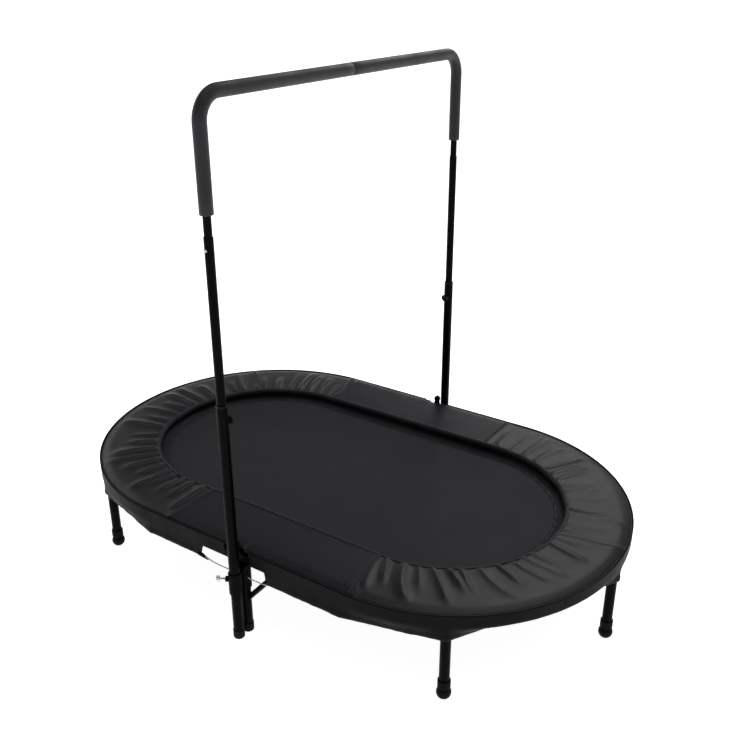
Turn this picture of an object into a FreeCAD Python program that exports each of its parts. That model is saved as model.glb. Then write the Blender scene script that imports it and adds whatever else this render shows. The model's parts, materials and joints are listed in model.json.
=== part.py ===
"""Oval mini trampoline for two: a folding steel frame in two halves, a sprung mat under a padded
cover, six screw-on legs, two middle legs and a height-adjustable handlebar across the middle.

Frame of the model, in millimetres: X along the oval, Y across it, Z up. The origin is on the floor
under the middle of the oval. "near" is the -Y side and "far" the +Y side. The right half of the
frame carries the middle legs and the posts; the left half folds up and over about the hinge pins.
"""
import FreeCAD, Part
import Sketcher
import math
import os
import re

SIZES = [
    # the oval frame
    ("straight_half", 294, "half the straight side, from the fold to the centre of an end"),
    ("frame_radius", 446, "centreline radius of the frame tube round an end"),
    ("frame_height", 212, "height of the frame tube's centreline"),
    ("tube_radius", 12.5, "outer radius of the frame tube, middle legs and posts"),
    ("tube_wall", 1.5, "wall of the steel tubes"),
    ("butt_gap", 0.3, "from the fold line to each half's tube ends"),
    # legs and feet
    ("leg_angle", 60, "angle of the outer legs from the end leg"),
    ("leg_slim", 0.5, "how much less a leg's radius is than the frame tube's"),
    ("leg_lift", 10, "height of a leg's lower end, inside its foot"),
    ("leg_gap", 3, "from the frame tube down to a leg's upper end"),
    ("socket_wall", 1.2, "wall of the welded leg socket"),
    ("socket_drop", 38, "from the frame tube's centreline down to the socket's lower edge"),
    ("foot_swell", 5, "how much wider than the leg the ball at the bottom of a foot is"),
    ("foot_flat", 1.5, "how much of the ball is flattened on the floor"),
    ("foot_sleeve", 2.6, "rubber round the leg above the ball"),
    ("foot_taper", 1, "how much wider the rubber is at the ball"),
    ("foot_height", 50, "height of a foot"),
    # middle legs, saddles and braces
    ("mid_leg_x", 14, "middle leg, from the fold line"),
    ("mid_leg_out", 8.5, "middle leg, outside the frame tube's centreline"),
    ("saddle_wall", 3, "thickness of the saddle under the frame tubes"),
    ("saddle_gap", 0.3, "between the saddle and the frame tubes"),
    ("saddle_plate", 4.2, "thickness of the plate between the saddle and the middle leg"),
    ("saddle_left", 40, "reach of the saddle under the folding half"),
    ("saddle_right", 60, "reach of the saddle under the fixed half"),
    ("saddle_rise", 5.5, "height of the saddle's lips above its bottom"),
    ("brace_radius", 6.5, "radius of the diagonal brace"),
    ("brace_drop", 124, "from the frame tube's centreline down to the brace on the middle leg"),
    ("brace_reach", 120, "where the brace meets the frame tube, from the fold line"),
    ("cap_wall", 1.4, "wall of the rubber cap on a middle leg or post"),
    ("cap_height", 24, "height of the rubber cap"),
    ("cap_floor", 6, "rubber under a middle leg or post"),
    ("cap_round", 5, "rounding of the cap's lower edge"),
    # handlebar posts
    ("post_x", 13, "post, from the fold line"),
    ("post_clear", 0.75, "gap between the saddle's plate and the post"),
    ("post_top", 614, "height of the lower post's upper end"),
    ("bush_lip", 4, "lip of the bush on top of the lower post"),
    ("bush_depth", 32, "bush inside the lower post"),
    ("bush_gap", 0.3, "clearance of the sliding post in its bush"),
    ("slide_radius", 10, "outer radius of the sliding post"),
    ("slide_wall", 1.2, "wall of the sliding post"),
    ("slide_overlap", 252, "sliding post inside the lower post"),
    ("pin_drop", 40, "from the lower post's upper end down to the pull pin"),
    ("pin_radius", 3, "radius of the pull pin"),
    ("pin_gap", 0.3, "clearance round and in front of the pull pin"),
    ("pin_knob_radius", 10, "radius of the pull knob where it meets the housing"),
    ("pin_knob_tip", 3.5, "radius of the pull knob at its tip"),
    ("pin_knob_length", 9, "length of the pull knob"),
    ("knob_edge", 1.5, "chamfer of a knob's edge"),
    ("housing_radius", 7, "radius of the pull pin's housing"),
    ("housing_length", 3.5, "length of the pull pin's housing"),
    ("hole_radius", 3.4, "radius of the height holes"),
    ("hole_pitch", 50, "distance between the height holes"),
    # brackets and clamp knobs
    ("bracket_wall", 3, "wall of the post bracket"),
    ("bracket_drop", 26, "from the frame tube's centreline down to the bracket's upper edge"),
    ("bracket_height", 56, "height of the bracket"),
    ("bracket_web", 12, "width of the web between the bracket's two sleeves"),
    ("clamp_drop", 18, "from the bracket's upper edge down to the clamp screw"),
    ("clamp_angle", 33, "turn of the clamp screw from the long axis"),
    ("clamp_radius", 3, "radius of the clamp screw"),
    ("clamp_gap", 0.05, "running clearance of the clamp screw and the hinge pins"),
    ("boss_radius", 7, "radius of the nut boss on the bracket"),
    ("boss_length", 9.5, "from the post's wall to the end of the nut boss"),
    ("clamp_shank", 24.5, "from the post's wall to the clamp knob"),
    ("clamp_knob_radius", 8, "radius of the clamp knob"),
    ("clamp_knob_length", 7, "length of the clamp knob"),
    # handlebar and foam
    ("bar_height", 1252, "height of the handlebar's centreline"),
    ("bar_radius", 8.5, "outer radius of the handlebar tube"),
    ("bar_wall", 1.2, "wall of the handlebar tube"),
    ("bar_drop", 270, "from the handlebar's centreline down to the sliding post's upper end"),
    ("bend_radius", 54, "centreline radius of the handlebar's bends"),
    ("bar_tail", 52, "handlebar tube inside the sliding post"),
    ("bar_seam", 0.3, "from the middle to the end of each handlebar half"),
    ("joint_half", 55, "half the length of the sleeve inside the handlebar's joint"),
    ("joint_gap", 0.2, "between the joint sleeve and the handlebar tube"),
    ("foam_wall", 6, "thickness of the foam grip"),
    ("bare_tube", 44, "bare handlebar tube between the sliding post and the foam grip"),
    ("button_radius", 3, "radius of the snap button"),
    ("button_proud", 0.8, "how far the snap button stands out of the sliding post"),
    ("button_flange", 1, "how much wider the button's flange is than its shaft"),
    ("button_seat", 1.3, "from the handlebar tube's bore to the button's flange"),
    ("button_drop", 26, "from the sliding post's upper end to the snap button"),
    # hinge
    ("hinge_rise", 4.5, "from the cover up to the hinge pins"),
    ("plate_thickness", 4, "thickness of a hinge plate"),
    ("plate_gap", 0.3, "between the hinge plates and what they pass"),
    ("plate_inner", 6, "inner end of a hinge plate's foot, from the fold line"),
    ("plate_outer", 34, "outer end of a hinge plate's foot, from the fold line"),
    ("plate_low", 9, "from the frame tube's centreline down to a hinge plate's lower edge"),
    ("plate_high", 10, "from the frame tube's centreline up to the top of a hinge plate's foot"),
    ("plate_step", 8, "height of the step at the inner end of a hinge plate's foot"),
    ("eye_radius", 8.5, "radius of a hinge plate's eye"),
    ("hinge_pin_radius", 4, "radius of a hinge pin"),
    ("pin_head_radius", 6.5, "radius of a hinge pin's heads"),
    ("pin_head", 2.6, "thickness of a hinge pin's heads"),
    # mat, rings and springs
    ("spring_set", 28, "from the frame tube's centreline to the end of a spring's coils"),
    ("spring_length", 48, "length of a spring's coils"),
    ("spring_radius", 5.5, "outer radius of a spring"),
    ("hook_length", 8, "from a spring's coils to the tip of its V ring"),
    ("hook_radius", 1.2, "radius of a spring's hook wire"),
    ("hook_gap", 0.2, "from a hook wire's end to the frame tube"),
    ("side_springs", 3, "springs on each straight side of a half"),
    ("end_springs", 12, "springs round the end of a half"),
    ("ring_wire", 1.5, "radius of the wire of a V ring"),
    ("ring_depth", 13.5, "from a V ring's base to its tip"),
    ("ring_half", 17, "half the length of a V ring's base"),
    ("mat_set", 2.5, "from the mat's edge to the V rings' base"),
    ("mat_thickness", 2, "thickness of the mat"),
    ("mat_gap", 0.5, "from the fold line to each half of the mat"),
    ("border_width", 79, "width of the mat's webbing border"),
    ("border_thickness", 1.2, "thickness of the webbing border"),
    # cover
    ("pad_width", 157, "width of the padded cover's top"),
    ("pad_reach", 9, "from the frame tube's centreline to the edge of the cover's top"),
    ("pad_lift", 0.5, "from the frame tube up to the padded cover"),
    ("pad_thickness", 15.5, "thickness of the padded cover"),
    ("lip_thickness", 6, "thickness of the cover where it rolls over the frame tube"),
    ("pad_gap", 0.5, "from the fold line to each half of the cover"),
    ("pad_notch", 14, "half the width of the cover's notch at a hinge"),
    ("notch_depth", 7, "depth of the cover's notch at a hinge"),
    ("notch_clear", 2, "between a hinge plate and the end of the cover's notch"),
    ("skirt_gap", 0.9, "between the skirt and the frame tube"),
    ("skirt_thickness", 1.6, "thickness of the skirt"),
    ("skirt_drop", 44, "from the frame tube's centreline down to the skirt's hem"),
    ("skirt_notch", 37, "half the width of the skirt's gap at a hinge"),
    ("window_left", 105, "cut-out of the skirt on the folding half, from the fold line"),
    ("window_right", 85, "cut-out of the skirt on the fixed half, from the fold line"),
    ("window_drop", 14, "from the frame tube's centreline down to the top of the cut-outs"),
    ("cord_radius", 1.5, "radius of the elastic hem cord"),
    ("cord_gap", 0.2, "clearance of the hem cord from the legs and the hem"),
    ("cord_end", 1, "clearance of the hem cord's ends from the middle leg's bracket"),
]

# sizes that follow from the ones above, so that pieces that meet stay together
FITS = [
    ("leg_radius", "tube_radius - leg_slim"),
    ("foot_ball", "leg_radius + foot_swell"),
    ("foot_centre", "foot_ball - foot_flat"),
    ("leg_top", "frame_height - tube_radius - leg_gap"),
    ("socket_bottom", "frame_height - socket_drop"),
    ("mid_leg_y", "frame_radius + mid_leg_out"),
    ("saddle_bottom", "frame_height - tube_radius - saddle_gap - saddle_wall"),
    ("mid_leg_top", "saddle_bottom - saddle_plate"),
    ("brace_low", "frame_height - brace_drop"),
    ("post_spacing", "2.5 * tube_radius + post_clear"),
    ("post_y", "mid_leg_y + post_spacing"),
    ("pin_height", "post_top - pin_drop"),
    ("bracket_bottom", "frame_height - bracket_drop - bracket_height"),
    ("clamp_height", "frame_height - bracket_drop - clamp_drop"),
    ("boss_reach", "tube_radius + boss_length"),
    ("slide_bottom", "post_top - slide_overlap"),
    ("slide_top", "bar_height - bar_drop"),
    ("foam_radius", "bar_radius + foam_wall"),
    ("foam_bottom", "slide_top + bare_tube"),
    ("pad_bottom", "frame_height + tube_radius + pad_lift"),
    ("hinge_height", "pad_bottom + pad_thickness + hinge_rise"),
    ("plate_bottom", "frame_height - plate_low"),
    ("plate_shoulder", "frame_height + plate_high"),
    ("spring_end", "frame_radius - spring_set"),
    ("spring_start", "spring_end - spring_length"),
    ("ring_tip", "spring_start - hook_length"),
    ("ring_base", "ring_tip - ring_depth"),
    ("mat_radius", "ring_base - mat_set"),
    ("border_inner", "mat_radius - border_width"),
    ("pad_outer", "frame_radius + pad_reach"),
    ("pad_inner", "pad_outer - pad_width"),
    ("skirt_outer", "frame_radius + tube_radius + skirt_gap + skirt_thickness"),
    ("skirt_bottom", "frame_height - skirt_drop"),
    ("window_top", "frame_height - window_drop"),
    ("cord_ring", "frame_radius + leg_radius + cord_gap + cord_radius"),
    ("cord_height", "skirt_bottom - cord_gap / 2 - cord_radius"),
]

doc = FreeCAD.newDocument("MiniTrampoline")
sheet = doc.addObject("Spreadsheet::Sheet", "Sizes")
for row, (alias, value, meaning) in enumerate(SIZES, start=1):
    sheet.set(f"A{row}", meaning)
    sheet.set(f"B{row}", str(value))
    sheet.setAlias(f"B{row}", alias)
doc.recompute()

Vector = FreeCAD.Vector
UPRIGHT = FreeCAD.Rotation()
ALONG_X = FreeCAD.Rotation(Vector(0, 1, 0), 90)
ALONG_Y = FreeCAD.Rotation(Vector(1, 0, 0), -90)
HALF_TURN = FreeCAD.Rotation(Vector(0, 0, 1), 180)
TO_RIGHT_END = FreeCAD.Rotation(Vector(0, 0, 1), -90)
BEND_TURN = FreeCAD.Rotation(Vector(0, -1, 0), Vector(0, 0, 1), Vector(-1, 0, 0), "XYZ")
SIDES = {"near": -1, "far": 1}
ALIASES = {alias for alias, value, meaning in SIZES}
FIT_NAMES = {name for name, text in FITS}
nodes = []


def size(alias):
    """The value of one size, given or following from others."""
    return float(sheet.get(alias) if alias in ALIASES else getattr(fits, alias))


def formula(text):
    """An expression over the names of the sizes."""
    def full(word):
        name = word.group()
        if name in ALIASES:
            return f"Sizes.{name}"
        return f"Fits.{name}" if name in FIT_NAMES else name
    return re.sub(r"[a-z_]+", full, str(text))


def bind(thing, **values):
    for name, text in values.items():
        thing.setExpression(name, formula(text))


fits = doc.addObject("App::VarSet", "Fits")
for name, text in FITS:
    fits.addProperty("App::PropertyFloat", name, "Fits")
    bind(fits, **{name: text})
doc.recompute()


def place(thing, at, turn=UPRIGHT):
    """Put a thing at a point given as three formulas."""
    thing.Placement = FreeCAD.Placement(Vector(), turn)
    for axis, text in zip("xyz", at):
        thing.setExpression(f".Placement.Base.{axis}", formula(text))
    return thing


def cylinder(radius, length, at, turn=UPRIGHT, angle=360):
    thing = doc.addObject("Part::Cylinder", "Cylinder")
    bind(thing, Radius=radius, Height=length, Angle=angle)
    return place(thing, at, turn)


def cone(radius, top_radius, length, at, turn=UPRIGHT):
    thing = doc.addObject("Part::Cone", "Cone")
    bind(thing, Radius1=radius, Radius2=top_radius, Height=length)
    return place(thing, at, turn)


def sphere(radius, at):
    thing = doc.addObject("Part::Sphere", "Sphere")
    bind(thing, Radius=radius)
    return place(thing, at)


def torus(ring, radius, angle, at, turn):
    thing = doc.addObject("Part::Torus", "Torus")
    bind(thing, Radius1=ring, Radius2=radius, Angle3=angle)
    return place(thing, at, turn)


def box(length, width, height, at):
    thing = doc.addObject("Part::Box", "Box")
    bind(thing, Length=length, Width=width, Height=height)
    return place(thing, at)


def fuse(*pieces):
    thing = doc.addObject("Part::MultiFuse", "Fuse")
    thing.Shapes = list(pieces)
    thing.Refine = True
    return thing


def cut(base, *tools):
    thing = doc.addObject("Part::Cut", "Cut")
    thing.Base = base
    thing.Tool = tools[0] if len(tools) == 1 else fuse(*tools)
    return thing


def common(base, tool):
    thing = doc.addObject("Part::Common", "Common")
    thing.Base = base
    thing.Tool = tool
    return thing


def group(*pieces):
    """Several like solids that share one node."""
    thing = doc.addObject("Part::Compound", "Group")
    thing.Links = list(pieces)
    return thing


def built(shape, name):
    """A sub-part whose shape is computed rather than drawn."""
    thing = doc.addObject("Part::Feature", name)
    thing.Shape = shape
    return thing


def node(thing, label):
    """Name a finished sub-part."""
    thing.Label = label
    nodes.append(thing)
    return thing


def tube(radius, wall, length, at, turn=UPRIGHT):
    return cut(cylinder(radius, length, at, turn), cylinder(f"{radius} - {wall}", length, at, turn))


def side_y(side, distance):
    """A distance from the long axis, on the near or far side."""
    return f"{SIDES[side]} * ({distance})"


def outline(body, name, role, corners):
    """A closed sketch of straight lines whose corners are all dimensioned from the origin."""
    plane = next(item for item in body.Origin.OriginFeatures if item.Role == role)
    sketch = body.newObject("Sketcher::SketchObject", name)
    sketch.AttachmentSupport = [(plane, "")]
    sketch.MapMode = "FlatFace"
    count = len(corners)
    start = [Vector(10 * math.cos(2 * math.pi * i / count), 10 * math.sin(2 * math.pi * i / count), 0)
             for i in range(count)]
    for i in range(count):
        sketch.addGeometry(Part.LineSegment(start[i], start[(i + 1) % count]))
    for i, (across, up) in enumerate(corners):
        following = Sketcher.Constraint("Coincident", i, 2, (i + 1) % count, 1)
        sketch.addConstraint(following)
        for kind, text in (("DistanceX", across), ("DistanceY", up)):
            index = sketch.addConstraint(Sketcher.Constraint(kind, -1, 1, i, 1, 1.0))
            sketch.setExpression(f"Constraints[{index}]", formula(text))
    return sketch


def padded_body(name, role, corners, depth):
    body = doc.addObject("PartDesign::Body", name)
    pad = body.newObject("PartDesign::Pad", f"{name}Pad")
    pad.Profile = outline(body, f"{name}Outline", role, corners)
    bind(pad, Length=depth)
    return body


def turned_body(name, corners):
    """A piece turned on a lathe: corners are radius and height, and Z is the axis."""
    body = doc.addObject("PartDesign::Body", name)
    sketch = outline(body, f"{name}Profile", "XZ_Plane", corners)
    turning = body.newObject("PartDesign::Revolution", f"{name}Turning")
    turning.Profile = sketch
    turning.ReferenceAxis = (sketch, ["V_Axis"])
    turning.Angle = 360
    return body


def u_rod(radius, ring, height, start):
    """A round bar along one half of the oval, from the fold line round the right end."""
    straight = f"straight_half - ({start})"
    return fuse(
        cylinder(radius, straight, (start, f"-({ring})", height), ALONG_X),
        torus(ring, radius, 180, ("straight_half", 0, height), TO_RIGHT_END),
        cylinder(radius, straight, (start, ring, height), ALONG_X),
    )


def u_plate(reach, thickness, bottom, start):
    """A flat plate that fills one half of the oval out to a reach."""
    return fuse(
        box(f"straight_half - ({start})", f"2 * ({reach})", thickness, (start, f"-({reach})", bottom)),
        cylinder(reach, thickness, ("straight_half", 0, bottom), TO_RIGHT_END, 180),
    )


def half(thing, label):
    """Register a piece of one half: the left one is the right one turned about Z."""
    if label.endswith("left"):
        thing.Placement = FreeCAD.Placement(Vector(), HALF_TURN)
    return node(thing, label)


def frame_tube(label):
    outer = u_rod("tube_radius", "frame_radius", "frame_height", "butt_gap")
    bore = u_rod("tube_radius - tube_wall", "frame_radius", "frame_height", "butt_gap")
    return half(cut(outer, bore), label)


def frame_solid():
    return u_rod("tube_radius", "frame_radius", "frame_height", "butt_gap")


def leg_places():
    """Where the legs of the right half stand: name, then X and Y as formulas."""
    sideways = "frame_radius * sin(leg_angle * 1 deg)"
    along = "straight_half + frame_radius * cos(leg_angle * 1 deg)"
    return [("near", along, f"-({sideways})"), ("end", "straight_half + frame_radius", "0"),
            ("far", along, sideways)]


def turned_about(formula_text, hand):
    """The same coordinate on the right half, or turned half round for the left one."""
    return formula_text if hand == "right" else f"-({formula_text})"


def legs_and_feet(hand):
    sockets = []
    for name, along, sideways in leg_places():
        x = turned_about(along, hand)
        y = turned_about(sideways, hand)
        # the left half is the right one turned, so its near leg comes from the far place
        side = {"near": "far", "far": "near"}.get(name, name) if hand == "left" else name
        leg = tube("leg_radius", "tube_wall", "leg_top - leg_lift", (x, y, "leg_lift"))
        node(leg, f"leg_{hand}_{side}")
        ball = common(sphere("foot_ball", (x, y, "foot_centre")),
                      box("4 * foot_ball", "4 * foot_ball", "2 * foot_ball",
                          (f"{x} - 2 * foot_ball", f"{y} - 2 * foot_ball", 0)))
        taper = cone("leg_radius + foot_sleeve + foot_taper", "leg_radius + foot_sleeve",
                     "foot_height - foot_centre", (x, y, "foot_centre"))
        cavity = cylinder("leg_radius", "foot_height", (x, y, "leg_lift"))
        node(cut(fuse(ball, taper), cavity), f"foot_{hand}_{side}")
        outer = cylinder("leg_radius + socket_wall", "frame_height - socket_bottom",
                         (along, sideways, "socket_bottom"))
        inner = cylinder("leg_radius", "leg_top - socket_bottom", (along, sideways, "socket_bottom"))
        sockets.append(cut(outer, inner, frame_solid()))
    half(group(*sockets), f"leg_sockets_{hand}")


def mid_leg(side):
    x = "mid_leg_x"
    y = side_y(side, "mid_leg_y")
    node(tube("tube_radius", "tube_wall", "mid_leg_top - cap_floor", (x, y, "cap_floor")),
         f"mid_leg_{side}")


def end_cap(x, y):
    """A rounded rubber cap on the lower end of a middle leg or post."""
    outer = cylinder("tube_radius + cap_wall", "cap_height", (x, y, 0))
    rounded = doc.addObject("Part::Fillet", "Rounded")
    rounded.Base = outer
    doc.recompute()
    rim = 1 + next(i for i, edge in enumerate(outer.Shape.Edges)
                   if edge.Closed and edge.BoundBox.ZMax < size("cap_floor"))
    rounded.Edges = [(rim, size("cap_round"), size("cap_round"))]
    return cut(rounded, cylinder("tube_radius", "cap_height", (x, y, "cap_floor")))


def saddle(side):
    """A trough under both tube ends, on a plate that the middle leg is welded to."""
    reach = "saddle_left + saddle_right"
    radius = "tube_radius + saddle_gap"
    y = side_y(side, "frame_radius")
    trough = cut(cylinder(f"{radius} + saddle_wall", reach, ("-saddle_left", y, "frame_height"), ALONG_X),
                 cylinder(radius, reach, ("-saddle_left", y, "frame_height"), ALONG_X))
    lower = box(reach, "4 * tube_radius", "saddle_rise",
                ("-saddle_left", f"{y} - 2 * tube_radius", "saddle_bottom"))
    plate = box("3 * tube_radius", "3 * tube_radius", "saddle_plate + saddle_wall / 4",
                ("mid_leg_x - 1.5 * tube_radius", f"{side_y(side, 'mid_leg_y')} - 1.5 * tube_radius",
                 "mid_leg_top"))
    clear = cylinder(radius, reach, ("-saddle_left", y, "frame_height"), ALONG_X)
    node(fuse(common(trough, lower), cut(plate, clear)), f"saddle_{side}")


def brace(side):
    """A rod from the middle leg up to the frame tube, trimmed to both."""
    low = Vector(size("mid_leg_x"), SIDES[side] * size("mid_leg_y"), size("brace_low"))
    high = Vector(size("brace_reach"), SIDES[side] * size("frame_radius"), size("frame_height"))
    rod = Part.makeCylinder(size("brace_radius"), (high - low).Length, low, high - low)
    leg = Part.makeCylinder(size("tube_radius"), size("frame_height"), Vector(low.x, low.y, 0))
    rail = Part.makeCylinder(size("tube_radius"), 2 * size("brace_reach"),
                             Vector(0, high.y, high.z), Vector(1, 0, 0))
    trimmed = rod.cut(leg).cut(rail)
    node(built(max(trimmed.Solids, key=lambda solid: solid.Volume), "Brace"), f"brace_{side}")


def hinge_plate(hand, side):
    """A flat plate with an eye for the hinge pin. The left one lies outside the right one."""
    layer = "frame_radius + tube_radius + plate_gap"
    if hand == "left":
        layer = f"{layer} + plate_thickness + plate_gap"
    sign = 1 if hand == "right" else -1
    # the neck meets the eye a little below its widest points
    neck, low, back = "0.9 * eye_radius", "hinge_height - 0.4 * eye_radius", "0.3 * eye_radius"
    corners = [(f"{sign} * plate_inner", "plate_bottom"), (f"{sign} * plate_outer", "plate_bottom"),
               (f"{sign} * plate_outer", "plate_shoulder"),
               (f"{sign} * (pad_notch - notch_clear)", "plate_shoulder"),
               (f"{sign} * {neck}", low), (f"{-sign} * {neck}", low),
               (f"{-sign} * {back}", "plate_shoulder"),
               (f"{sign} * plate_inner", "plate_shoulder - plate_step")]
    body = padded_body(f"HingePlate{hand}{side}", "XZ_Plane", corners, "plate_thickness")
    # a sketch on the XZ plane is padded towards -Y
    shift = f"{layer} + plate_thickness" if side == "far" else f"-({layer})"
    place(body, (0, shift, 0))
    flat = f"{layer}" if side == "far" else f"-({layer} + plate_thickness)"
    eye = cylinder("eye_radius", "plate_thickness", (0, flat, "hinge_height"), ALONG_Y)
    hole = cylinder("hinge_pin_radius + clamp_gap", "plate_thickness", (0, flat, "hinge_height"), ALONG_Y)
    inner = "frame_radius"
    start = "plate_inner + plate_step" if hand == "left" else "plate_inner"
    width = f"plate_outer - ({start})"
    low_x = start if hand == "right" else "-plate_outer"
    low_y = inner if side == "far" else f"-({layer})"
    weld = box(width, f"{layer} - ({inner})", "plate_shoulder - plate_bottom",
               (low_x, low_y, "plate_bottom"))
    rail = cylinder("tube_radius", "2 * plate_outer",
                    ("-plate_outer", side_y(side, "frame_radius"), "frame_height"), ALONG_X)
    beam = box("2 * plate_outer", "tube_radius + 2 * saddle_gap", "4 * tube_radius",
               ("-plate_outer", f"{side_y(side, 'frame_radius + tube_radius / 2')} - tube_radius / 2"
                " - saddle_gap", "frame_height - 2 * tube_radius"))
    pad = cut(weld, rail, beam)
    return cut(fuse(body, eye, pad), hole)


def hinge_pin(side):
    """A riveted pin through both plates, with a head at each end."""
    inner = "frame_radius + tube_radius"
    stack = "2 * plate_thickness + 3 * plate_gap"
    low = f"{inner}" if side == "far" else f"-({inner} + {stack})"
    shank = cylinder("hinge_pin_radius", stack, (0, low, "hinge_height"), ALONG_Y)
    first = cylinder("pin_head_radius", "pin_head", (0, f"{low} - pin_head", "hinge_height"), ALONG_Y)
    last = cylinder("pin_head_radius", "pin_head", (0, f"{low} + {stack}", "hinge_height"), ALONG_Y)
    return fuse(first, shank, last)


def lower_post(side):
    y = side_y(side, "post_y")
    shell = tube("tube_radius", "tube_wall", "post_top - cap_floor", ("post_x", y, "cap_floor"))
    inward = y if side == "near" else f"{y} - 2 * tube_radius"
    hole = cylinder("pin_radius + pin_gap", "2 * tube_radius", ("post_x", inward, "pin_height"), ALONG_Y)
    node(cut(shell, hole), f"lower_post_{side}")


def bush(side):
    """A plastic bush in the lower post's mouth, with a lip on top."""
    y = side_y(side, "post_y")
    sleeve = cylinder("tube_radius - tube_wall", "bush_depth", ("post_x", y, "post_top - bush_depth"))
    lip = cylinder("tube_radius", "bush_lip", ("post_x", y, "post_top"))
    bore = cylinder("slide_radius + bush_gap", "bush_depth + bush_lip",
                    ("post_x", y, "post_top - bush_depth"))
    return cut(fuse(sleeve, lip), bore)


def pin_housing(side):
    """A short barrel welded to the lower post's inner face."""
    face = "post_y - tube_radius"
    low = f"-({face}) - tube_radius" if side == "near" else f"{face} - housing_length"
    barrel = cylinder("housing_radius", "housing_length + tube_radius",
                      ("post_x", low, "pin_height"), ALONG_Y)
    bore = cylinder("pin_radius + pin_gap", "housing_length + tube_radius",
                    ("post_x", low, "pin_height"), ALONG_Y)
    post = cylinder("tube_radius", "4 * housing_radius",
                    ("post_x", side_y(side, "post_y"), "pin_height - 2 * housing_radius"))
    return cut(barrel, bore, post)


def height_pin(side):
    """A sprung pull pin with a tapered knob. Its tip stops just short of the sliding post."""
    start = "post_y - tube_radius - housing_length - pin_gap"
    reach = f"post_y - slide_radius - pin_gap - ({start})"
    knob = [("pin_radius", "0"), ("pin_radius", reach), ("0", reach), ("0", "-pin_knob_length"),
            ("pin_knob_tip - knob_edge", "-pin_knob_length"),
            ("pin_knob_tip", "knob_edge - pin_knob_length"),
            ("pin_knob_radius", "-2 * knob_edge"), ("pin_knob_radius", "-knob_edge"),
            ("pin_knob_radius - knob_edge", "0")]
    body = turned_body(f"HeightPin{side}", knob)
    turn = ALONG_Y if side == "far" else FreeCAD.Rotation(Vector(1, 0, 0), 90)
    place(body, ("post_x", side_y(side, start), "pin_height"), turn)
    node(body, f"height_pin_{side}")


def bracket(side):
    """Two sleeves in one, round the middle leg and the post, with a boss for the clamp screw."""
    leg_y = side_y(side, "mid_leg_y")
    post_y = side_y(side, "post_y")
    outer = "tube_radius + bracket_wall"
    height = "bracket_height"
    low_y = leg_y if side == "far" else post_y
    screw_turn = clamp_turn(side)
    web = box("bracket_web", "post_y - mid_leg_y", height,
              ("post_x - bracket_web / 2", low_y, "bracket_bottom"))
    boss = cylinder("boss_radius", "boss_reach", ("post_x", post_y, "clamp_height"), screw_turn)
    screw = cylinder("clamp_radius + clamp_gap", "boss_reach", ("post_x", post_y, "clamp_height"),
                     screw_turn)
    solid = fuse(cylinder(outer, height, ("mid_leg_x", leg_y, "bracket_bottom")),
                 cylinder(outer, height, ("post_x", post_y, "bracket_bottom")), web, boss)
    node(cut(solid, cylinder("tube_radius", height, ("mid_leg_x", leg_y, "bracket_bottom")),
             cylinder("tube_radius", height, ("post_x", post_y, "bracket_bottom")), screw),
         f"post_bracket_{side}")


def clamp_turn(side):
    """The clamp screw points outwards from the post and towards the folding half."""
    angle = math.radians(size("clamp_angle"))
    outward = Vector(-math.cos(angle), SIDES[side] * math.sin(angle), 0)
    return FreeCAD.Rotation(Vector(0, 0, 1), outward)


def clamp_knob(side):
    """A thumb screw: its tip meets the post and its round knob stands clear of the boss."""
    reach = "clamp_shank - clamp_gap"
    top = f"{reach} + clamp_knob_length"
    profile = [("0", "0"), ("clamp_radius", "0"), ("clamp_radius", reach),
               ("clamp_knob_radius - knob_edge", reach),
               ("clamp_knob_radius", f"{reach} + knob_edge"),
               ("clamp_knob_radius", f"{top} - knob_edge"),
               ("clamp_knob_radius - knob_edge", top), ("0", top)]
    body = turned_body(f"ClampKnob{side}", profile)
    tip = "(tube_radius + clamp_gap)"
    place(body, (f"post_x - {tip} * cos(clamp_angle * 1 deg)",
                 f"{SIDES[side]} * (post_y + {tip} * sin(clamp_angle * 1 deg))", "clamp_height"),
          clamp_turn(side))
    node(body, f"clamp_knob_{side}")


def across(thing, side):
    """Pieces of the handlebar are drawn on the near side and turned about its middle."""
    if side == "far":
        place(thing, ("2 * post_x", 0, 0), HALF_TURN)
    return thing


def sliding_post(side):
    y = "-post_y"
    shell = tube("slide_radius", "slide_wall", "slide_top - slide_bottom", ("post_x", y, "slide_bottom"))
    holes = [cylinder("hole_radius", "slide_radius", ("post_x", y, f"pin_height + {step} * hole_pitch"),
                      ALONG_Y) for step in range(-1, 5)]
    button = cylinder("button_radius + pin_gap", "2 * slide_radius",
                      ("post_x", f"{y} - 2 * slide_radius", "slide_top - button_drop"), ALONG_Y)
    node(across(cut(shell, button, *holes), side), f"sliding_post_{side}")


def l_rod(radius, bottom):
    """A round bar up a post, round the bend and along the handlebar to its middle."""
    turn_y = "post_y - bend_radius"
    turn_z = "bar_height - bend_radius"
    return fuse(
        cylinder(radius, f"{turn_z} - ({bottom})", ("post_x", "-post_y", bottom)),
        torus("bend_radius", radius, 90, ("post_x", f"-({turn_y})", turn_z), BEND_TURN),
        cylinder(radius, f"{turn_y} - bar_seam", ("post_x", f"-({turn_y})", "bar_height"), ALONG_Y),
    )


def handlebar(side):
    bottom = "slide_top - bar_tail"
    button = cylinder("button_radius + pin_gap", "2 * slide_radius",
                      ("post_x", "-post_y - 2 * slide_radius", "slide_top - button_drop"), ALONG_Y)
    bar = cut(l_rod("bar_radius", bottom), l_rod("bar_radius - bar_wall", bottom), button)
    node(across(bar, side), f"handlebar_tube_{side}")
    foam = cut(l_rod("foam_radius", "foam_bottom"), l_rod("bar_radius", "foam_bottom"))
    node(across(foam, side), f"foam_grip_{side}")


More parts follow.
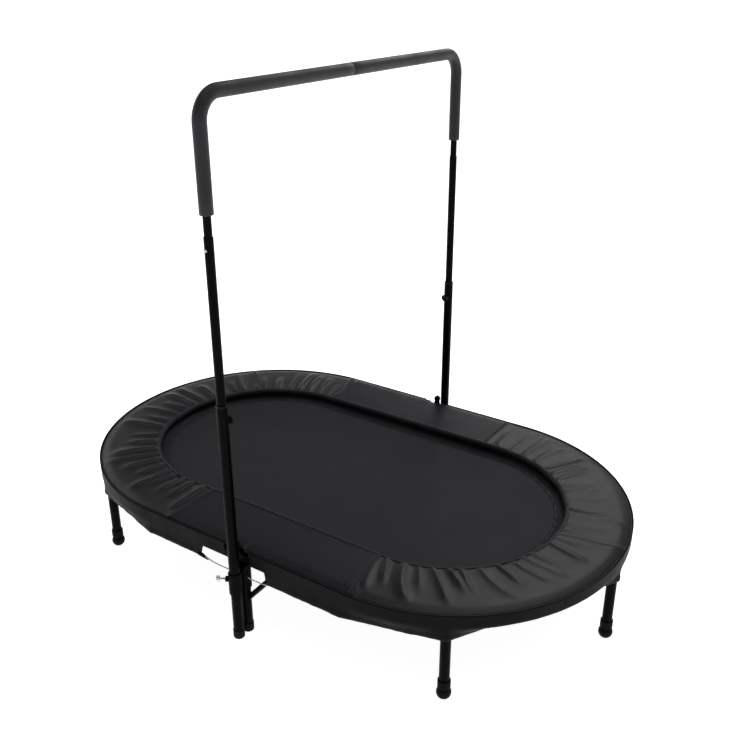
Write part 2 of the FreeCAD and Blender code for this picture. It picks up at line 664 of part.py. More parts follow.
def snap_button(side):
    """A button that pops out through the handlebar tube and the sliding post."""
    height = "slide_top - button_drop"
    flange_y = "-post_y - bar_radius + bar_wall + button_seat"
    shaft = cylinder("button_radius", "slide_radius - bar_radius + bar_wall + button_seat + button_proud",
                     ("post_x", "-post_y - slide_radius - button_proud", height), ALONG_Y)
    flange = cylinder("button_radius + button_flange", "bar_wall", ("post_x", flange_y, height), ALONG_Y)
    return across(fuse(shaft, flange), side)


def stations():
    """Each spring's place on the right half: a point of the oval's centreline, and its direction."""
    count = int(size("side_springs"))
    pitch = size("straight_half") / count
    places = [(pitch * (i + 0.5), -90.0) for i in range(count)]
    end_count = int(size("end_springs"))
    step = 180.0 / end_count
    places += [(size("straight_half"), -90 + step * (i + 0.5)) for i in range(end_count)]
    places += [(pitch * (count - i - 0.5), 90.0) for i in range(count)]
    return places


def repeated(shape, label):
    """Copies of a shape drawn along +X, one at each spring's place."""
    copies = []
    for x, angle in stations():
        copy = shape.copy()
        copy.Placement = FreeCAD.Placement(Vector(x, 0, size("frame_height")),
                                           FreeCAD.Rotation(Vector(0, 0, 1), angle))
        copies.append(copy)
    return half(built(Part.makeCompound(copies), "Repeated"), label)


def wire_bar(start, end, radius):
    return Part.makeCylinder(radius, (end - start).Length, start, end - start)


def v_ring():
    """A wire triangle: three straight legs with a ball at each corner."""
    radius = size("ring_wire")
    corners = [Vector(size("ring_base"), -size("ring_half"), 0), Vector(size("ring_tip"), 0, 0),
               Vector(size("ring_base"), size("ring_half"), 0)]
    shape = Part.makeSphere(radius, corners[0])
    for i, corner in enumerate(corners):
        shape = shape.fuse(wire_bar(corners[i - 1], corner, radius))
        if i:
            shape = shape.fuse(Part.makeSphere(radius, corner))
    return shape.removeSplitter()


def spring():
    """A closed spring as its outer shape, with a straight hook wire at each end."""
    inner = size("ring_tip") + size("ring_wire")
    outer = size("frame_radius") - size("tube_radius") - size("hook_gap")
    coil_start = Vector(size("spring_start"), 0, 0)
    coil_end = Vector(size("spring_end"), 0, 0)
    coils = wire_bar(coil_start, coil_end, size("spring_radius"))
    hook_in = wire_bar(Vector(inner, 0, 0), coil_start, size("hook_radius"))
    hook_out = wire_bar(coil_end, Vector(outer, 0, 0), size("hook_radius"))
    return coils.fuse(hook_in).fuse(hook_out).removeSplitter()


def mat(hand):
    bottom = "frame_height - mat_thickness / 2"
    half(u_plate("mat_radius", "mat_thickness", bottom, "mat_gap"), f"mat_{hand}")
    top = "frame_height + mat_thickness / 2"
    band = cut(u_plate("mat_radius", "border_thickness", top, "mat_gap"),
               u_plate("border_inner", "border_thickness", top, "mat_gap"))
    half(band, f"mat_border_{hand}")


def pad(hand):
    """The padded ring, with a thinner lip that rolls over the frame tube out to the skirt."""
    top = u_plate("pad_outer", "pad_thickness", "pad_bottom", "pad_gap")
    lip = u_plate("skirt_outer", "lip_thickness", "pad_bottom", "pad_gap")
    well = u_plate("pad_inner", "pad_thickness", "pad_bottom", "pad_gap")
    depth = "skirt_outer - pad_outer + notch_depth"
    notches = []
    for side in SIDES:
        low = "skirt_outer - notch_depth" if side == "far" else f"-(skirt_outer - notch_depth) - ({depth})"
        notches.append(box("pad_notch", depth, "pad_thickness", (0, low, "pad_bottom")))
    half(cut(fuse(top, lip), well, *notches), f"pad_{hand}")


def skirt(hand):
    """The hanging rim of the cover, open at the hinge and cut up beside the middle legs."""
    drop = "pad_bottom - skirt_bottom"
    wall = cut(u_plate("skirt_outer", drop, "skirt_bottom", "skirt_notch"),
               u_plate("skirt_outer - skirt_thickness", drop, "skirt_bottom", "skirt_notch"))
    window = box(f"window_{hand}", "3 * skirt_outer", "window_top - skirt_bottom",
                 (0, "-1.5 * skirt_outer", "skirt_bottom"))
    half(cut(wall, window), f"skirt_{hand}")


def hem_cord(hand):
    """The elastic under the hem, hooked to the middle leg's bracket at each side."""
    clear = "tube_radius + bracket_wall + cord_end"
    start = f"mid_leg_x + {clear}" if hand == "right" else f"{clear} - mid_leg_x"
    half(u_rod("cord_radius", "cord_ring", "cord_height", start), f"hem_cord_{hand}")


frame_tube("frame_tube_right")
frame_tube("frame_tube_left")
legs_and_feet("right")
legs_and_feet("left")
for side in SIDES:
    saddle(side)
    mid_leg(side)
    brace(side)
    bracket(side)
    lower_post(side)
    height_pin(side)
    clamp_knob(side)
    sliding_post(side)
    handlebar(side)
node(group(*[end_cap("mid_leg_x", side_y(side, "mid_leg_y")) for side in SIDES]), "mid_leg_caps")
node(group(*[end_cap("post_x", side_y(side, "post_y")) for side in SIDES]), "post_caps")
node(group(*[bush(side) for side in SIDES]), "post_bushes")
node(group(*[pin_housing(side) for side in SIDES]), "pin_housings")
node(group(*[snap_button(side) for side in SIDES]), "snap_buttons")
node(group(*[hinge_pin(side) for side in SIDES]), "hinge_pins")
for hand in ("right", "left"):
    node(group(*[hinge_plate(hand, side) for side in SIDES]), f"hinge_plates_{hand}")
    mat(hand)
    repeated(v_ring(), f"v_rings_{hand}")
    repeated(spring(), f"springs_{hand}")
    pad(hand)
    skirt(hand)
    hem_cord(hand)
node(tube("bar_radius - bar_wall - joint_gap", "bar_wall", "2 * joint_half",
          ("post_x", "-joint_half", "bar_height"), ALONG_Y), "handlebar_joint_sleeve")

doc.recompute()
for thing in doc.Objects:
    if "Invalid" in thing.State or "Error" in thing.State:
        raise RuntimeError(f"{thing.Name} ({thing.Label}) failed: {thing.State}")
for thing in nodes:
    if thing.Shape.isNull() or not thing.Shape.isValid() or not thing.Shape.Solids:
        raise RuntimeError(f"{thing.Label} has no valid solid")

os.makedirs("parts", exist_ok=True)
for thing in nodes:
    thing.Shape.exportStep(f"parts/{thing.Label}.step")
    extent = thing.Shape.BoundBox
    print(f"{thing.Label:24s} {len(thing.Shape.Solids):3d} solids {thing.Shape.Volume:12.0f} mm3  "
          f"x {extent.XMin:8.1f} {extent.XMax:8.1f}  y {extent.YMin:8.1f} {extent.YMax:8.1f}  "
          f"z {extent.ZMin:7.1f} {extent.ZMax:7.1f}")
print(len(nodes), "nodes")
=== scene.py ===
"""The finished look of the folding oval mini trampoline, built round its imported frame."""
import json
import math
import random

import bmesh
import bpy
from bpy.props import FloatProperty, FloatVectorProperty, IntProperty, PointerProperty
from mathutils import Matrix, Vector, noise


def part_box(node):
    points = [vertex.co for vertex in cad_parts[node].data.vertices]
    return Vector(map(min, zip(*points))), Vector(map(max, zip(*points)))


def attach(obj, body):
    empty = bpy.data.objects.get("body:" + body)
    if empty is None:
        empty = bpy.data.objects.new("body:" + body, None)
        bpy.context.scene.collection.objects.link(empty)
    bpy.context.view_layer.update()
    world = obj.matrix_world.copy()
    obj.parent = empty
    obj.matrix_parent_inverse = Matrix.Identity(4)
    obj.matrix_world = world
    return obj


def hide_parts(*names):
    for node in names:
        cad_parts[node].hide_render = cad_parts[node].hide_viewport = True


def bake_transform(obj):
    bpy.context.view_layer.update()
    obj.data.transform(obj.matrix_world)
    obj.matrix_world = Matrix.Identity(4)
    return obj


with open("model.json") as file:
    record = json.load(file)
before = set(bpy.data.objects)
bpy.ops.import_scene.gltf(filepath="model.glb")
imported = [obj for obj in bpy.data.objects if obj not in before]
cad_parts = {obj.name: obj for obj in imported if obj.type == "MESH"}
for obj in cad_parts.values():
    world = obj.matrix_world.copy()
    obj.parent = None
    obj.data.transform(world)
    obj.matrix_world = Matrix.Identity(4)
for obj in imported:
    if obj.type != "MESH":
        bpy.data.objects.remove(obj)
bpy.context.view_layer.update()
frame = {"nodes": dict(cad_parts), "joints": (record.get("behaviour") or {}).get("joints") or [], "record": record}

bl_info = {
    "name": "Mini trampoline",
    "version": (1, 0, 0),
    "blender": (4, 5, 0),
    "location": "3D View > Sidebar > Trampoline",
    "description": "Builds the covers, mat, springs, grips and finishes of a folding mini trampoline",
    "category": "Object",
}

WAVE_PERIOD = math.pi / 10      # metres from crest to crest of a wave texture whose scale is 1
WELD = 0.00001                  # metres under which two points are one

SPRINGS_ALONG = 3               # springs on each straight side of a half
SPRINGS_ROUND = 12              # springs round the end of a half


def middle(node):
    """The middle of a CAD node's box."""
    low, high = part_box(node)
    return (low + high) / 2


# the oval: two straight sides joined by two half circles, measured along the frame tube's centreline
RING = 2 * (middle("leg_right_end").x - middle("leg_right_near").x)
STRAIGHT = middle("leg_right_end").x - RING
HALF_WAY = 2 * STRAIGHT + math.pi * RING
RAIL_LOW, RAIL_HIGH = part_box("frame_tube_right")
RAIL_RADIUS = (RAIL_HIGH.z - RAIL_LOW.z) / 2
RAIL_Z = (RAIL_HIGH.z + RAIL_LOW.z) / 2
PAD_LOW, PAD_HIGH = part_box("pad_right")
MAT_LOW, MAT_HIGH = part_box("mat_right")
BORDER_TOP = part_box("mat_border_right")[1].z
SKIRT_LOW, SKIRT_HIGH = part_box("skirt_right")
LEG_RADIUS = (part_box("leg_right_end")[1].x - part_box("leg_right_end")[0].x) / 2
FOLD_Z = middle("hinge_pins").z
LEG_TURNS = (-60, 0, 60)        # degrees round an end where its legs stand


def linear(text):
    """A colour written RRGGBB in sRGB, as the linear red, green and blue that a shader reads."""
    channels = [int(text[i:i + 2], 16) / 255 for i in (0, 2, 4)]
    return [c / 12.92 if c <= 0.04045 else ((c + 0.055) / 1.055) ** 2.4 for c in channels]


def per_metre(millimetres):
    """How many repeats of that size fit in a metre."""
    return 1000 / millimetres


def ease(value, start=0.0, end=1.0):
    """A smooth step from 0 at start to 1 at end."""
    t = min(1.0, max(0.0, (value - start) / (end - start)))
    return t * t * (3 - 2 * t)


def ripple(*place):
    """Smooth noise from about -1 to 1."""
    return noise.noise(Vector(place))


# ---------------------------------------------------------------- sizes and colours

def length(name, text, metres):
    return FloatProperty(name=name, description=text, default=metres, unit="LENGTH", precision=4)


def colour(name, text, value):
    return FloatVectorProperty(name=name, description=text, default=linear(value), subtype="COLOR",
                               size=3, min=0, max=1)


class TrampolineSizes(bpy.types.PropertyGroup):
    pad_inner: length("Cover, inner edge", "Inner edge of the cover from the oval's centreline", 0.298)
    foam_edge: length("Foam at the edges", "Height of the cover's foam at its edges", 0.2366)
    foam_crown: length("Foam crown", "Rise of the foam between the cover's edges", 0.0012)
    fold_limit: length("Highest fold", "Height of the cover's highest fold, under the hinge pins",
                       FOLD_Z - 0.0004)
    gather_rise: length("Gather height", "Height of the gathers as laid, before they settle", 0.0068)
    fold_pitch: length("Fold spacing", "Distance between the gathers round the ends", 0.074)
    gathering: FloatProperty(name="Gathering", description="Spare fabric in the end panels, as a share",
                             default=0.075, subtype="FACTOR", min=0, max=0.3)
    flat_half: length("Flat panel", "Half the length of the flat panels on the straight sides", 0.25)
    panel_zone: length("Fold zone", "Half the width of the fabric that bends at the fold", 0.026)
    mat_zone: length("Mat's fold zone", "Half the width of the mat that bends at the fold", 0.047)
    border_inner: length("Border, inner edge", "Inner edge of the mat's webbing border", 0.272)
    skirt_top: length("Skirt, top", "Height of the skirt's sewn edge", 0.2345)
    hem: length("Hem", "Height of the skirt's hem", 0.1672)
    spring_low: length("Springs, inner end", "Inner end of the coils, from the oval's centreline", 0.37)
    coils: length("Coils", "Length of a spring's coils", 0.048)
    wire: length("Spring wire", "Thickness of a spring's wire", 0.0018)
    spring: length("Spring", "Outer width of a spring", 0.0105)
    turns: IntProperty(name="Turns", description="Turns of a spring's coil", default=24, min=4)
    stitch: length("Stitch", "Length of one stitch of the heavy thread", 0.0045)


class TrampolineColours(bpy.types.PropertyGroup):
    powder: colour("Powder coat", "Gloss black powder coat on the frame, legs and posts", "020203")
    bracket: colour("Bracket coat", "Satin black powder coat on the brackets and hinges", "050506")
    zinc: colour("Zinc", "Zinc plating on springs, rings and the bare handlebar tube", "B4B5B8")
    chrome: colour("Chrome", "Chrome plating on the clamp knobs", "D6D7DA")
    rubber: colour("Rubber", "Moulded rubber of the feet and caps", "040405")
    plastic: colour("Plastic", "Moulded nylon of the bushes and pull knobs", "060607")
    foam: colour("Foam", "Closed-cell foam of the grips", "1B1A1F")
    mat: colour("Mat", "Woven polypropylene of the mat", "27262A")
    # on the mat's border and tabs this is the webbing's own colour; on the cover's seam bands its lighter tone is
    # a painted highlight
    webbing: colour("Webbing", "Border, tabs and seams", "1F1E22")
    cover: colour("Cover", "Satin polyester of the padded cover and skirt", "121116")
    panel: colour("Flat panels", "Smoother coated polyester of the straight panels", "12131A")
    # lighter than the cover: a painted highlight along the cover's inner edge
    binding: colour("Binding", "Tape on the cover's inner edge", "242328")
    # the skirt's colour is the cover's satin darkened: painted shade, since the skirt faces outwards and down
    skirt: colour("Skirt", "Thinner polyester of the skirt", "09090B")
    elastic: colour("Elastic", "Braided elastic cord", "B9B8BC")
    thread: colour("Thread", "Heavy bonded thread", "1E1D22")
    floor: colour("Floor", "Pale studio floor", "FAFAFA")


# ---------------------------------------------------------------- materials

def add(tree, kind, inputs=(), **settings):
    """Add a node. An input given a socket is linked, and any other value is set on the socket."""
    new = tree.nodes.new(kind)
    for name, value in settings.items():
        setattr(new, name, value)
    for name, value in dict(inputs).items():
        if isinstance(value, bpy.types.NodeSocket):
            tree.links.new(value, new.inputs[name])
        else:
            new.inputs[name].default_value = value
    return new


def start(name, shader):
    """A new material, with its tree, shader, and the object and UV coordinates its patterns read."""
    material = bpy.data.materials.new(name)
    material.use_nodes = True
    tree = material.node_tree
    tree.nodes.clear()
    surface = add(tree, "ShaderNodeBsdfPrincipled", shader)
    add(tree, "ShaderNodeOutputMaterial", {"Surface": surface.outputs["BSDF"]})
    place = add(tree, "ShaderNodeTexCoord")
    return material, tree, surface, place.outputs["Object"], place.outputs["UV"]


def shaded(tree, surface, base, amount, pattern, share=0.3):
    """Let a pattern darken the base colour by a share and lighten it by amount."""
    dark = [c * (1 - share) for c in base] + [1]
    light = [min(1, c * (1 + amount)) for c in base] + [1]
    mix = add(tree, "ShaderNodeMix", {0: pattern, 6: dark, 7: light}, data_type="RGBA")
    tree.links.new(mix.outputs[2], surface.inputs["Base Color"])


def ranged(tree, surface, pattern, low, high, socket="Roughness"):
    """Let a pattern run a socket between two values."""
    span = add(tree, "ShaderNodeMapRange",
               {"Value": pattern, "From Min": 0.3, "From Max": 0.7, "To Min": low, "To Max": high})
    tree.links.new(span.outputs["Result"], surface.inputs[socket])


def raised(tree, surface, pattern, metres, strength=1.0):
    """Let a pattern raise the surface."""
    bump = add(tree, "ShaderNodeBump", {"Height": pattern, "Distance": metres, "Strength": strength})
    tree.links.new(bump.outputs["Normal"], surface.inputs["Normal"])


def powder_coat(name, base, rough):
    """Powder coat, sprayed and baked: an even skin with a faint orange peel and dulled patches."""
    material, tree, surface, place, _ = start(name, {
        "IOR": 1.5, "Specular IOR Level": 0.03, "Coat Weight": 0.015, "Coat Roughness": rough / 2})
    peel = add(tree, "ShaderNodeTexNoise", {"Vector": place, "Scale": per_metre(2.4), "Detail": 2})
    handled = add(tree, "ShaderNodeTexNoise", {"Vector": place, "Scale": per_metre(45), "Detail": 4})
    shaded(tree, surface, base, 0.5, handled.outputs["Fac"])
    ranged(tree, surface, handled.outputs["Fac"], rough * 0.8, rough * 1.35)
    raised(tree, surface, peel.outputs["Fac"], 0.00025, 0.5)
    return material


def zinc_plate(name, base):
    """Bright zinc plating: a greyish metal, cloudy where the bath left it uneven."""
    material, tree, surface, place, _ = start(name, {"Metallic": 1.0})
    cloud = add(tree, "ShaderNodeTexNoise", {"Vector": place, "Scale": per_metre(9), "Detail": 5})
    grain = add(tree, "ShaderNodeTexNoise", {"Vector": place, "Scale": per_metre(1.2), "Detail": 3})
    shaded(tree, surface, base, 0.08, cloud.outputs["Fac"])
    ranged(tree, surface, cloud.outputs["Fac"], 0.28, 0.46)
    raised(tree, surface, grain.outputs["Fac"], 0.0001, 0.4)
    return material


def chrome_plate(name, base):
    """Decorative chrome: mirror bright, with fine handling scratches that soften its glints."""
    material, tree, surface, place, _ = start(name, {"Metallic": 1.0})
    smear = add(tree, "ShaderNodeTexNoise", {"Vector": place, "Scale": per_metre(14), "Detail": 6})
    shaded(tree, surface, base, 0.03, smear.outputs["Fac"], 0.06)
    ranged(tree, surface, smear.outputs["Fac"], 0.08, 0.24)
    return material


def moulded_rubber(name, base):
    """Moulded rubber: matt, with a fine stipple from the mould and dust in its hollows."""
    material, tree, surface, place, _ = start(name, {
        "IOR": 1.52, "Specular IOR Level": 0.08, "Sheen Weight": 0.01, "Sheen Roughness": 0.6})
    stipple = add(tree, "ShaderNodeTexNoise", {"Vector": place, "Scale": per_metre(1.5), "Detail": 2})
    dust = add(tree, "ShaderNodeTexNoise", {"Vector": place, "Scale": per_metre(16), "Detail": 5})
    shaded(tree, surface, base, 1.2, dust.outputs["Fac"])
    ranged(tree, surface, dust.outputs["Fac"], 0.5, 0.74)
    raised(tree, surface, stipple.outputs["Fac"], 0.0003, 0.5)
    return material


def moulded_nylon(name, base):
    """Moulded nylon: half matt, spark-eroded texture, a little brighter where fingers rub it."""
    material, tree, surface, place, _ = start(name, {"IOR": 1.53, "Specular IOR Level": 0.12})
    spark = add(tree, "ShaderNodeTexVoronoi", {"Vector": place, "Scale": per_metre(1.1)})
    worn = add(tree, "ShaderNodeTexNoise", {"Vector": place, "Scale": per_metre(12), "Detail": 3})
    shaded(tree, surface, base, 0.8, worn.outputs["Fac"])
    ranged(tree, surface, worn.outputs["Fac"], 0.34, 0.52)
    raised(tree, surface, spark.outputs["Distance"], 0.0002, 0.4)
    return material


def cell_foam(name, base):
    """Closed-cell foam: a soft grey bloom, tiny cut cells, and long faint drag marks."""
    material, tree, surface, place, _ = start(name, {
        "IOR": 1.4, "Specular IOR Level": 0.4, "Sheen Weight": 0.1, "Sheen Roughness": 0.45})
    # real cells are about 0.5 mm; they are drawn coarser so that they show
    cells = add(tree, "ShaderNodeTexVoronoi", {"Vector": place, "Scale": per_metre(1.6)})
    bloom = add(tree, "ShaderNodeTexNoise", {"Vector": place, "Scale": per_metre(60), "Detail": 5})
    shaded(tree, surface, base, 0.35, bloom.outputs["Fac"], 0.25)
    ranged(tree, surface, bloom.outputs["Fac"], 0.5, 0.66)
    raised(tree, surface, cells.outputs["Distance"], 0.0004, 0.6)
    return material


def weave(tree, metres, millimetres, operation):
    """Threads that far apart, both ways across a cloth, and one socket where they meet."""
    scale = WAVE_PERIOD * per_metre(millimetres)
    both = [add(tree, "ShaderNodeTexWave", {"Vector": metres, "Scale": scale},
                bands_direction=way).outputs["Fac"] for way in "XY"]
    return add(tree, "ShaderNodeMath", dict(enumerate(both)), operation=operation).outputs[0]


def woven_tape(name, base):
    """Woven polypropylene: flat glossy tapes over and under, each crossing a little brighter."""
    material, tree, surface, _, metres = start(name, {
        "IOR": 1.49, "Specular IOR Level": 0.08, "Sheen Weight": 0.02, "Sheen Roughness": 0.5})
    # the tapes are 1.4 mm wide; they are drawn 2.6 mm wide so that they show
    crossing = weave(tree, metres, 2.6, "MULTIPLY")
    batch = add(tree, "ShaderNodeTexNoise", {"Vector": metres, "Scale": per_metre(130), "Detail": 6,
                                             "Roughness": 0.62})
    tone = add(tree, "ShaderNodeMix", {0: 0.45, 2: batch.outputs["Fac"], 3: crossing})
    shaded(tree, surface, base, 0.6, tone.outputs[0])
    ranged(tree, surface, batch.outputs["Fac"], 0.46, 0.62)
    raised(tree, surface, crossing, 0.0004, 0.7)
    return material


def webbing(name, base):
    """Woven webbing: close cross ribs that hold a soft half-matt light."""
    material, tree, surface, _, metres = start(name, {
        "IOR": 1.5, "Specular IOR Level": 0.1, "Sheen Weight": 0.03, "Sheen Roughness": 0.4})
    # the ribs are 1 mm apart; they are drawn 2.2 mm apart so that they show
    ribs = add(tree, "ShaderNodeTexWave", {"Vector": metres, "Scale": WAVE_PERIOD * per_metre(2.2),
                                           "Distortion": 0.4}, bands_direction="X")
    wear = add(tree, "ShaderNodeTexNoise", {"Vector": metres, "Scale": per_metre(40), "Detail": 5})
    shaded(tree, surface, base, 0.5, wear.outputs["Fac"])
    ranged(tree, surface, wear.outputs["Fac"], 0.5, 0.72)
    raised(tree, surface, ribs.outputs["Fac"], 0.0005, 0.7)
    return material


def satin_cloth(name, base, rough, sheen, gloss):
    """Satin polyester: a tight weave with a silky lilac sheen along its folds."""
    material, tree, surface, _, metres = start(name, {
        "IOR": 1.5, "Specular IOR Level": gloss, "Sheen Weight": sheen, "Sheen Roughness": 0.35,
        "Sheen Tint": [*linear("CFCBE0"), 1]})
    # the threads are 0.4 mm apart; they are drawn 1.8 mm apart so that they show
    threads = weave(tree, metres, 1.8, "ADD")
    handled = add(tree, "ShaderNodeTexNoise", {"Vector": metres, "Scale": per_metre(70), "Detail": 5,
                                               "Roughness": 0.6})
    shaded(tree, surface, base, 0.35, handled.outputs["Fac"])
    ranged(tree, surface, handled.outputs["Fac"], rough * 0.85, rough * 1.15)
    raised(tree, surface, threads, 0.0002, 0.4)
    return material


def braided_elastic(name, base):
    """Braided elastic: pale slanting yarns that cross round the cord."""
    material, tree, surface, _, metres = start(name, {"Sheen Weight": 0.3, "Sheen Roughness": 0.5,
                                                      "Roughness": 0.7})
    scale = WAVE_PERIOD * per_metre(2.0)
    braid = add(tree, "ShaderNodeTexWave", {"Vector": metres, "Scale": scale},
                bands_direction="DIAGONAL")
    shaded(tree, surface, base, 0.25, braid.outputs["Fac"])
    raised(tree, surface, braid.outputs["Fac"], 0.0004, 0.7)
    return material


def bonded_thread(name, base):
    """Bonded polyester thread: twisted, slightly waxy."""
    material, tree, surface, place, _ = start(name, {"Sheen Weight": 0.2, "IOR": 1.5})
    twist = add(tree, "ShaderNodeTexWave", {"Vector": place, "Scale": WAVE_PERIOD * per_metre(1.2)},
                bands_direction="DIAGONAL")
    shaded(tree, surface, base, 0.4, twist.outputs["Fac"])
    ranged(tree, surface, twist.outputs["Fac"], 0.4, 0.6)
    return material


def studio_floor(name, base):
    """Opal acrylic lit from below: an even, pale and matt table that keeps shadows light."""
    material, tree, surface, place, _ = start(name, {
        "IOR": 1.4, "Emission Color": (1, 1, 1, 1), "Emission Strength": 0.9})
    roller = add(tree, "ShaderNodeTexNoise", {"Vector": place, "Scale": per_metre(300), "Detail": 3})
    shaded(tree, surface, base, 0.02, roller.outputs["Fac"], 0.01)
    ranged(tree, surface, roller.outputs["Fac"], 0.7, 0.85)
    return material


def finishes():
    """Every material by the name of the record's slot, made once."""
    if "thread" in FINISHES:
        return FINISHES
    tone = bpy.context.scene.trampoline_colours
    FINISHES.update(
        frame_steel=powder_coat("Gloss powder-coated steel", tone.powder, 0.3),
        leg_steel=powder_coat("Powder-coated steel legs", tone.powder, 0.34),
        bracket_steel=powder_coat("Satin powder-coated steel", tone.bracket, 0.5),
        zinc=zinc_plate("Zinc-plated steel", tone.zinc),
        chrome=chrome_plate("Chrome-plated steel", tone.chrome),
        rubber_black=moulded_rubber("Moulded rubber", tone.rubber),
        knob_plastic=moulded_nylon("Moulded nylon", tone.plastic),
        bush_plastic=moulded_nylon("Moulded nylon bush", tone.plastic),
        foam=cell_foam("Closed-cell foam", tone.foam),
        mat_fabric=woven_tape("Woven polypropylene", tone.mat),
        border_webbing=webbing("Polyester webbing", tone.webbing),
        # the binding's lighter colour is a painted highlight along the cover's inner edge
        binding=webbing("Polyester binding tape", tone.binding),
        cover_fabric=satin_cloth("Satin polyester", tone.cover, 0.33, 0.03, 0.2),
        panel_fabric=satin_cloth("Coated polyester", tone.panel, 0.45, 0.01, 0.15),
        # the skirt's darker base colour is painted shade on the downward-facing skirt
        skirt_fabric=satin_cloth("Polyester skirt", tone.skirt, 0.55, 0.01, 0.06),
        elastic=braided_elastic("Braided elastic", tone.elastic),
        thread=bonded_thread("Bonded thread", tone.thread),
    )
    return FINISHES


FINISHES = {}


# ---------------------------------------------------------------- shapes

def oval(s, radius):
    """The point s metres along the frame tube from the near fold line, at a radius."""
    s %= 2 * HALF_WAY
    hand = 1 if s < HALF_WAY else -1
    if hand < 0:
        s -= HALF_WAY
    if s < STRAIGHT:
        x, y = s, -radius
    elif s < HALF_WAY - STRAIGHT:
        turn = (s - STRAIGHT) / RING - math.pi / 2
        x, y = STRAIGHT + radius * math.cos(turn), radius * math.sin(turn)
    else:
        x, y = HALF_WAY - s, radius
    return hand * x, hand * y


def to_fold(s):
    """The distance along the frame tube to the nearest fold line."""
    s %= HALF_WAY
    return min(s, HALF_WAY - s)


def signed_x(s):
    """The distance along the frame tube from the nearest fold line, below zero on the left half."""
    return to_fold(s) if s % (2 * HALF_WAY) < HALF_WAY else -to_fold(s)


def spaced(width, rows):
    return [width * i / rows for i in range(rows + 1)]


def oval_grid(columns, across, begin, finish, shape):
    """A grid along the oval. Each row is a distance across, and shape(s, row) gives its radius and
    height. The UVs are metres along and across."""
    bm = bmesh.new()
    rows = len(across) - 1
    bmesh.ops.create_grid(bm, x_segments=columns, y_segments=rows, size=0.5)
    metres = bm.loops.layers.uv.new("Metres")
    for face in bm.faces:
        for loop in face.loops:
            along = begin + (loop.vert.co.x + 0.5) * (finish - begin)
            loop[metres].uv = (along, across[round((loop.vert.co.y + 0.5) * rows)])
    for vert in bm.verts:
        s = begin + (vert.co.x + 0.5) * (finish - begin)
        radius, height = shape(s, round((vert.co.y + 0.5) * rows))
        vert.co = (*oval(s, radius), height)
    return bm


def round_section(s_path, radius, sides):
    """A shape for oval_grid: a round bar whose centre is s_path(s), a radius and a height."""
    def shape(s, row):
        centre, height = s_path(s)
        turn = 2 * math.pi * row / sides
        return centre + radius * math.cos(turn), height + radius * math.sin(turn)
    return shape


def made(bm, name, finish, body=None, closed=True, sharp=50):
    """Turn a bmesh into a finished piece."""
    bmesh.ops.remove_doubles(bm, verts=bm.verts, dist=WELD)
    if closed:
        bmesh.ops.recalc_face_normals(bm, faces=bm.faces)
    mesh = bpy.data.meshes.new(name)
    bm.to_mesh(mesh)
    bm.free()
    mesh.materials.append(finish)
    mesh.shade_smooth()
    mesh.set_sharp_from_angle(angle=math.radians(sharp))
    thing = bpy.data.objects.new(name, mesh)
    bpy.context.scene.collection.objects.link(thing)
    if body:
        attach(thing, body)
    return thing


def across_fold(thing):
    """Bake a piece's placement into its mesh; the piece is not bent at the fold."""
    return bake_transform(thing)


def lathe(bm, profile, steps, matrix=Matrix()):
    """Spin a profile of radius and height about Z, and put it where the matrix says."""
    verts = [bm.verts.new((radius, 0, height)) for radius, height in profile]
    edges = [bm.edges.new(pair) for pair in zip(verts, verts[1:])]
    spun = bmesh.ops.spin(bm, geom=verts + edges, cent=(0, 0, 0), axis=(0, 0, 1), angle=2 * math.pi,
                          steps=steps, use_merge=True)
    reached = set(verts)
    front = list(verts)
    while front:
        vert = front.pop()
        for edge in vert.link_edges:
            other = edge.other_vert(vert)
            if other not in reached:
                reached.add(other)
                front.append(other)
    bmesh.ops.transform(bm, matrix=matrix, verts=list(reached))
    return spun


def spring_places(hand):
    """Where each spring of a half starts from, as a matrix whose X points at the frame tube."""
    pitch = STRAIGHT / SPRINGS_ALONG
    turn = 180 / SPRINGS_ROUND
    places = [(pitch * (i + 0.5), -90) for i in range(SPRINGS_ALONG)]
    places += [(STRAIGHT, -90 + turn * (i + 0.5)) for i in range(SPRINGS_ROUND)]
    places += [(pitch * (SPRINGS_ALONG - i - 0.5), 90) for i in range(SPRINGS_ALONG)]
    half_turn = Matrix.Rotation(math.pi if hand == "left" else 0, 4, "Z")
    return [half_turn @ Matrix.Translation((x, 0, RAIL_Z)) @ Matrix.Rotation(math.radians(a), 4, "Z")
            for x, a in places]


def body_of_half(hand):
    return "main_frame" if hand == "right" else "folding_frame"


def stitch_line(bm, begin, finish, pitch, path):
    """A row of stitches: short capsules that follow path(s), a radius and a height."""
    count = max(1, round((finish - begin) / pitch))
    step = (finish - begin) / count
    for i in range(count):
        ends = []
        for share in (0.14, 0.86):
            s = begin + step * (i + share)
            radius, height = path(s)
            ends.append(Vector((*oval(s, radius), height)))
        stitch_between(bm, *ends)


def stitch_between(bm, first, last, thick=0.0011):
    """One stitch: a short rounded bar that dips into the cloth at both ends."""
    line = last - first
    matrix = Matrix.Translation((first + last) / 2) @ line.to_track_quat("X", "Z").to_matrix().to_4x4()
    bar = bmesh.ops.create_cube(bm, size=1, matrix=matrix @ Matrix.Diagonal(
        (line.length, thick, thick * 0.8, 1)))
    ends = {}
    for vert in bar["verts"]:
        ends.setdefault((vert.co - first).length < (vert.co - last).length, []).append(vert)
    for verts in ends.values():
        bmesh.ops.translate(bm, verts=verts, vec=(0, 0, -thick * 0.5))


# ---------------------------------------------------------------- mat, border and springs

def mat_sag(radius, edge, x, y, fine=0.0):
    """How far the mat dips below its edge, with slow and fine waves over it."""
    slack = 1 - (radius / edge) ** 2
    return slack * (0.0012 * ripple(x * 5, y * 7, 1.7) + fine * ripple(x * 17, y * 15, 4.2) - 0.0018)


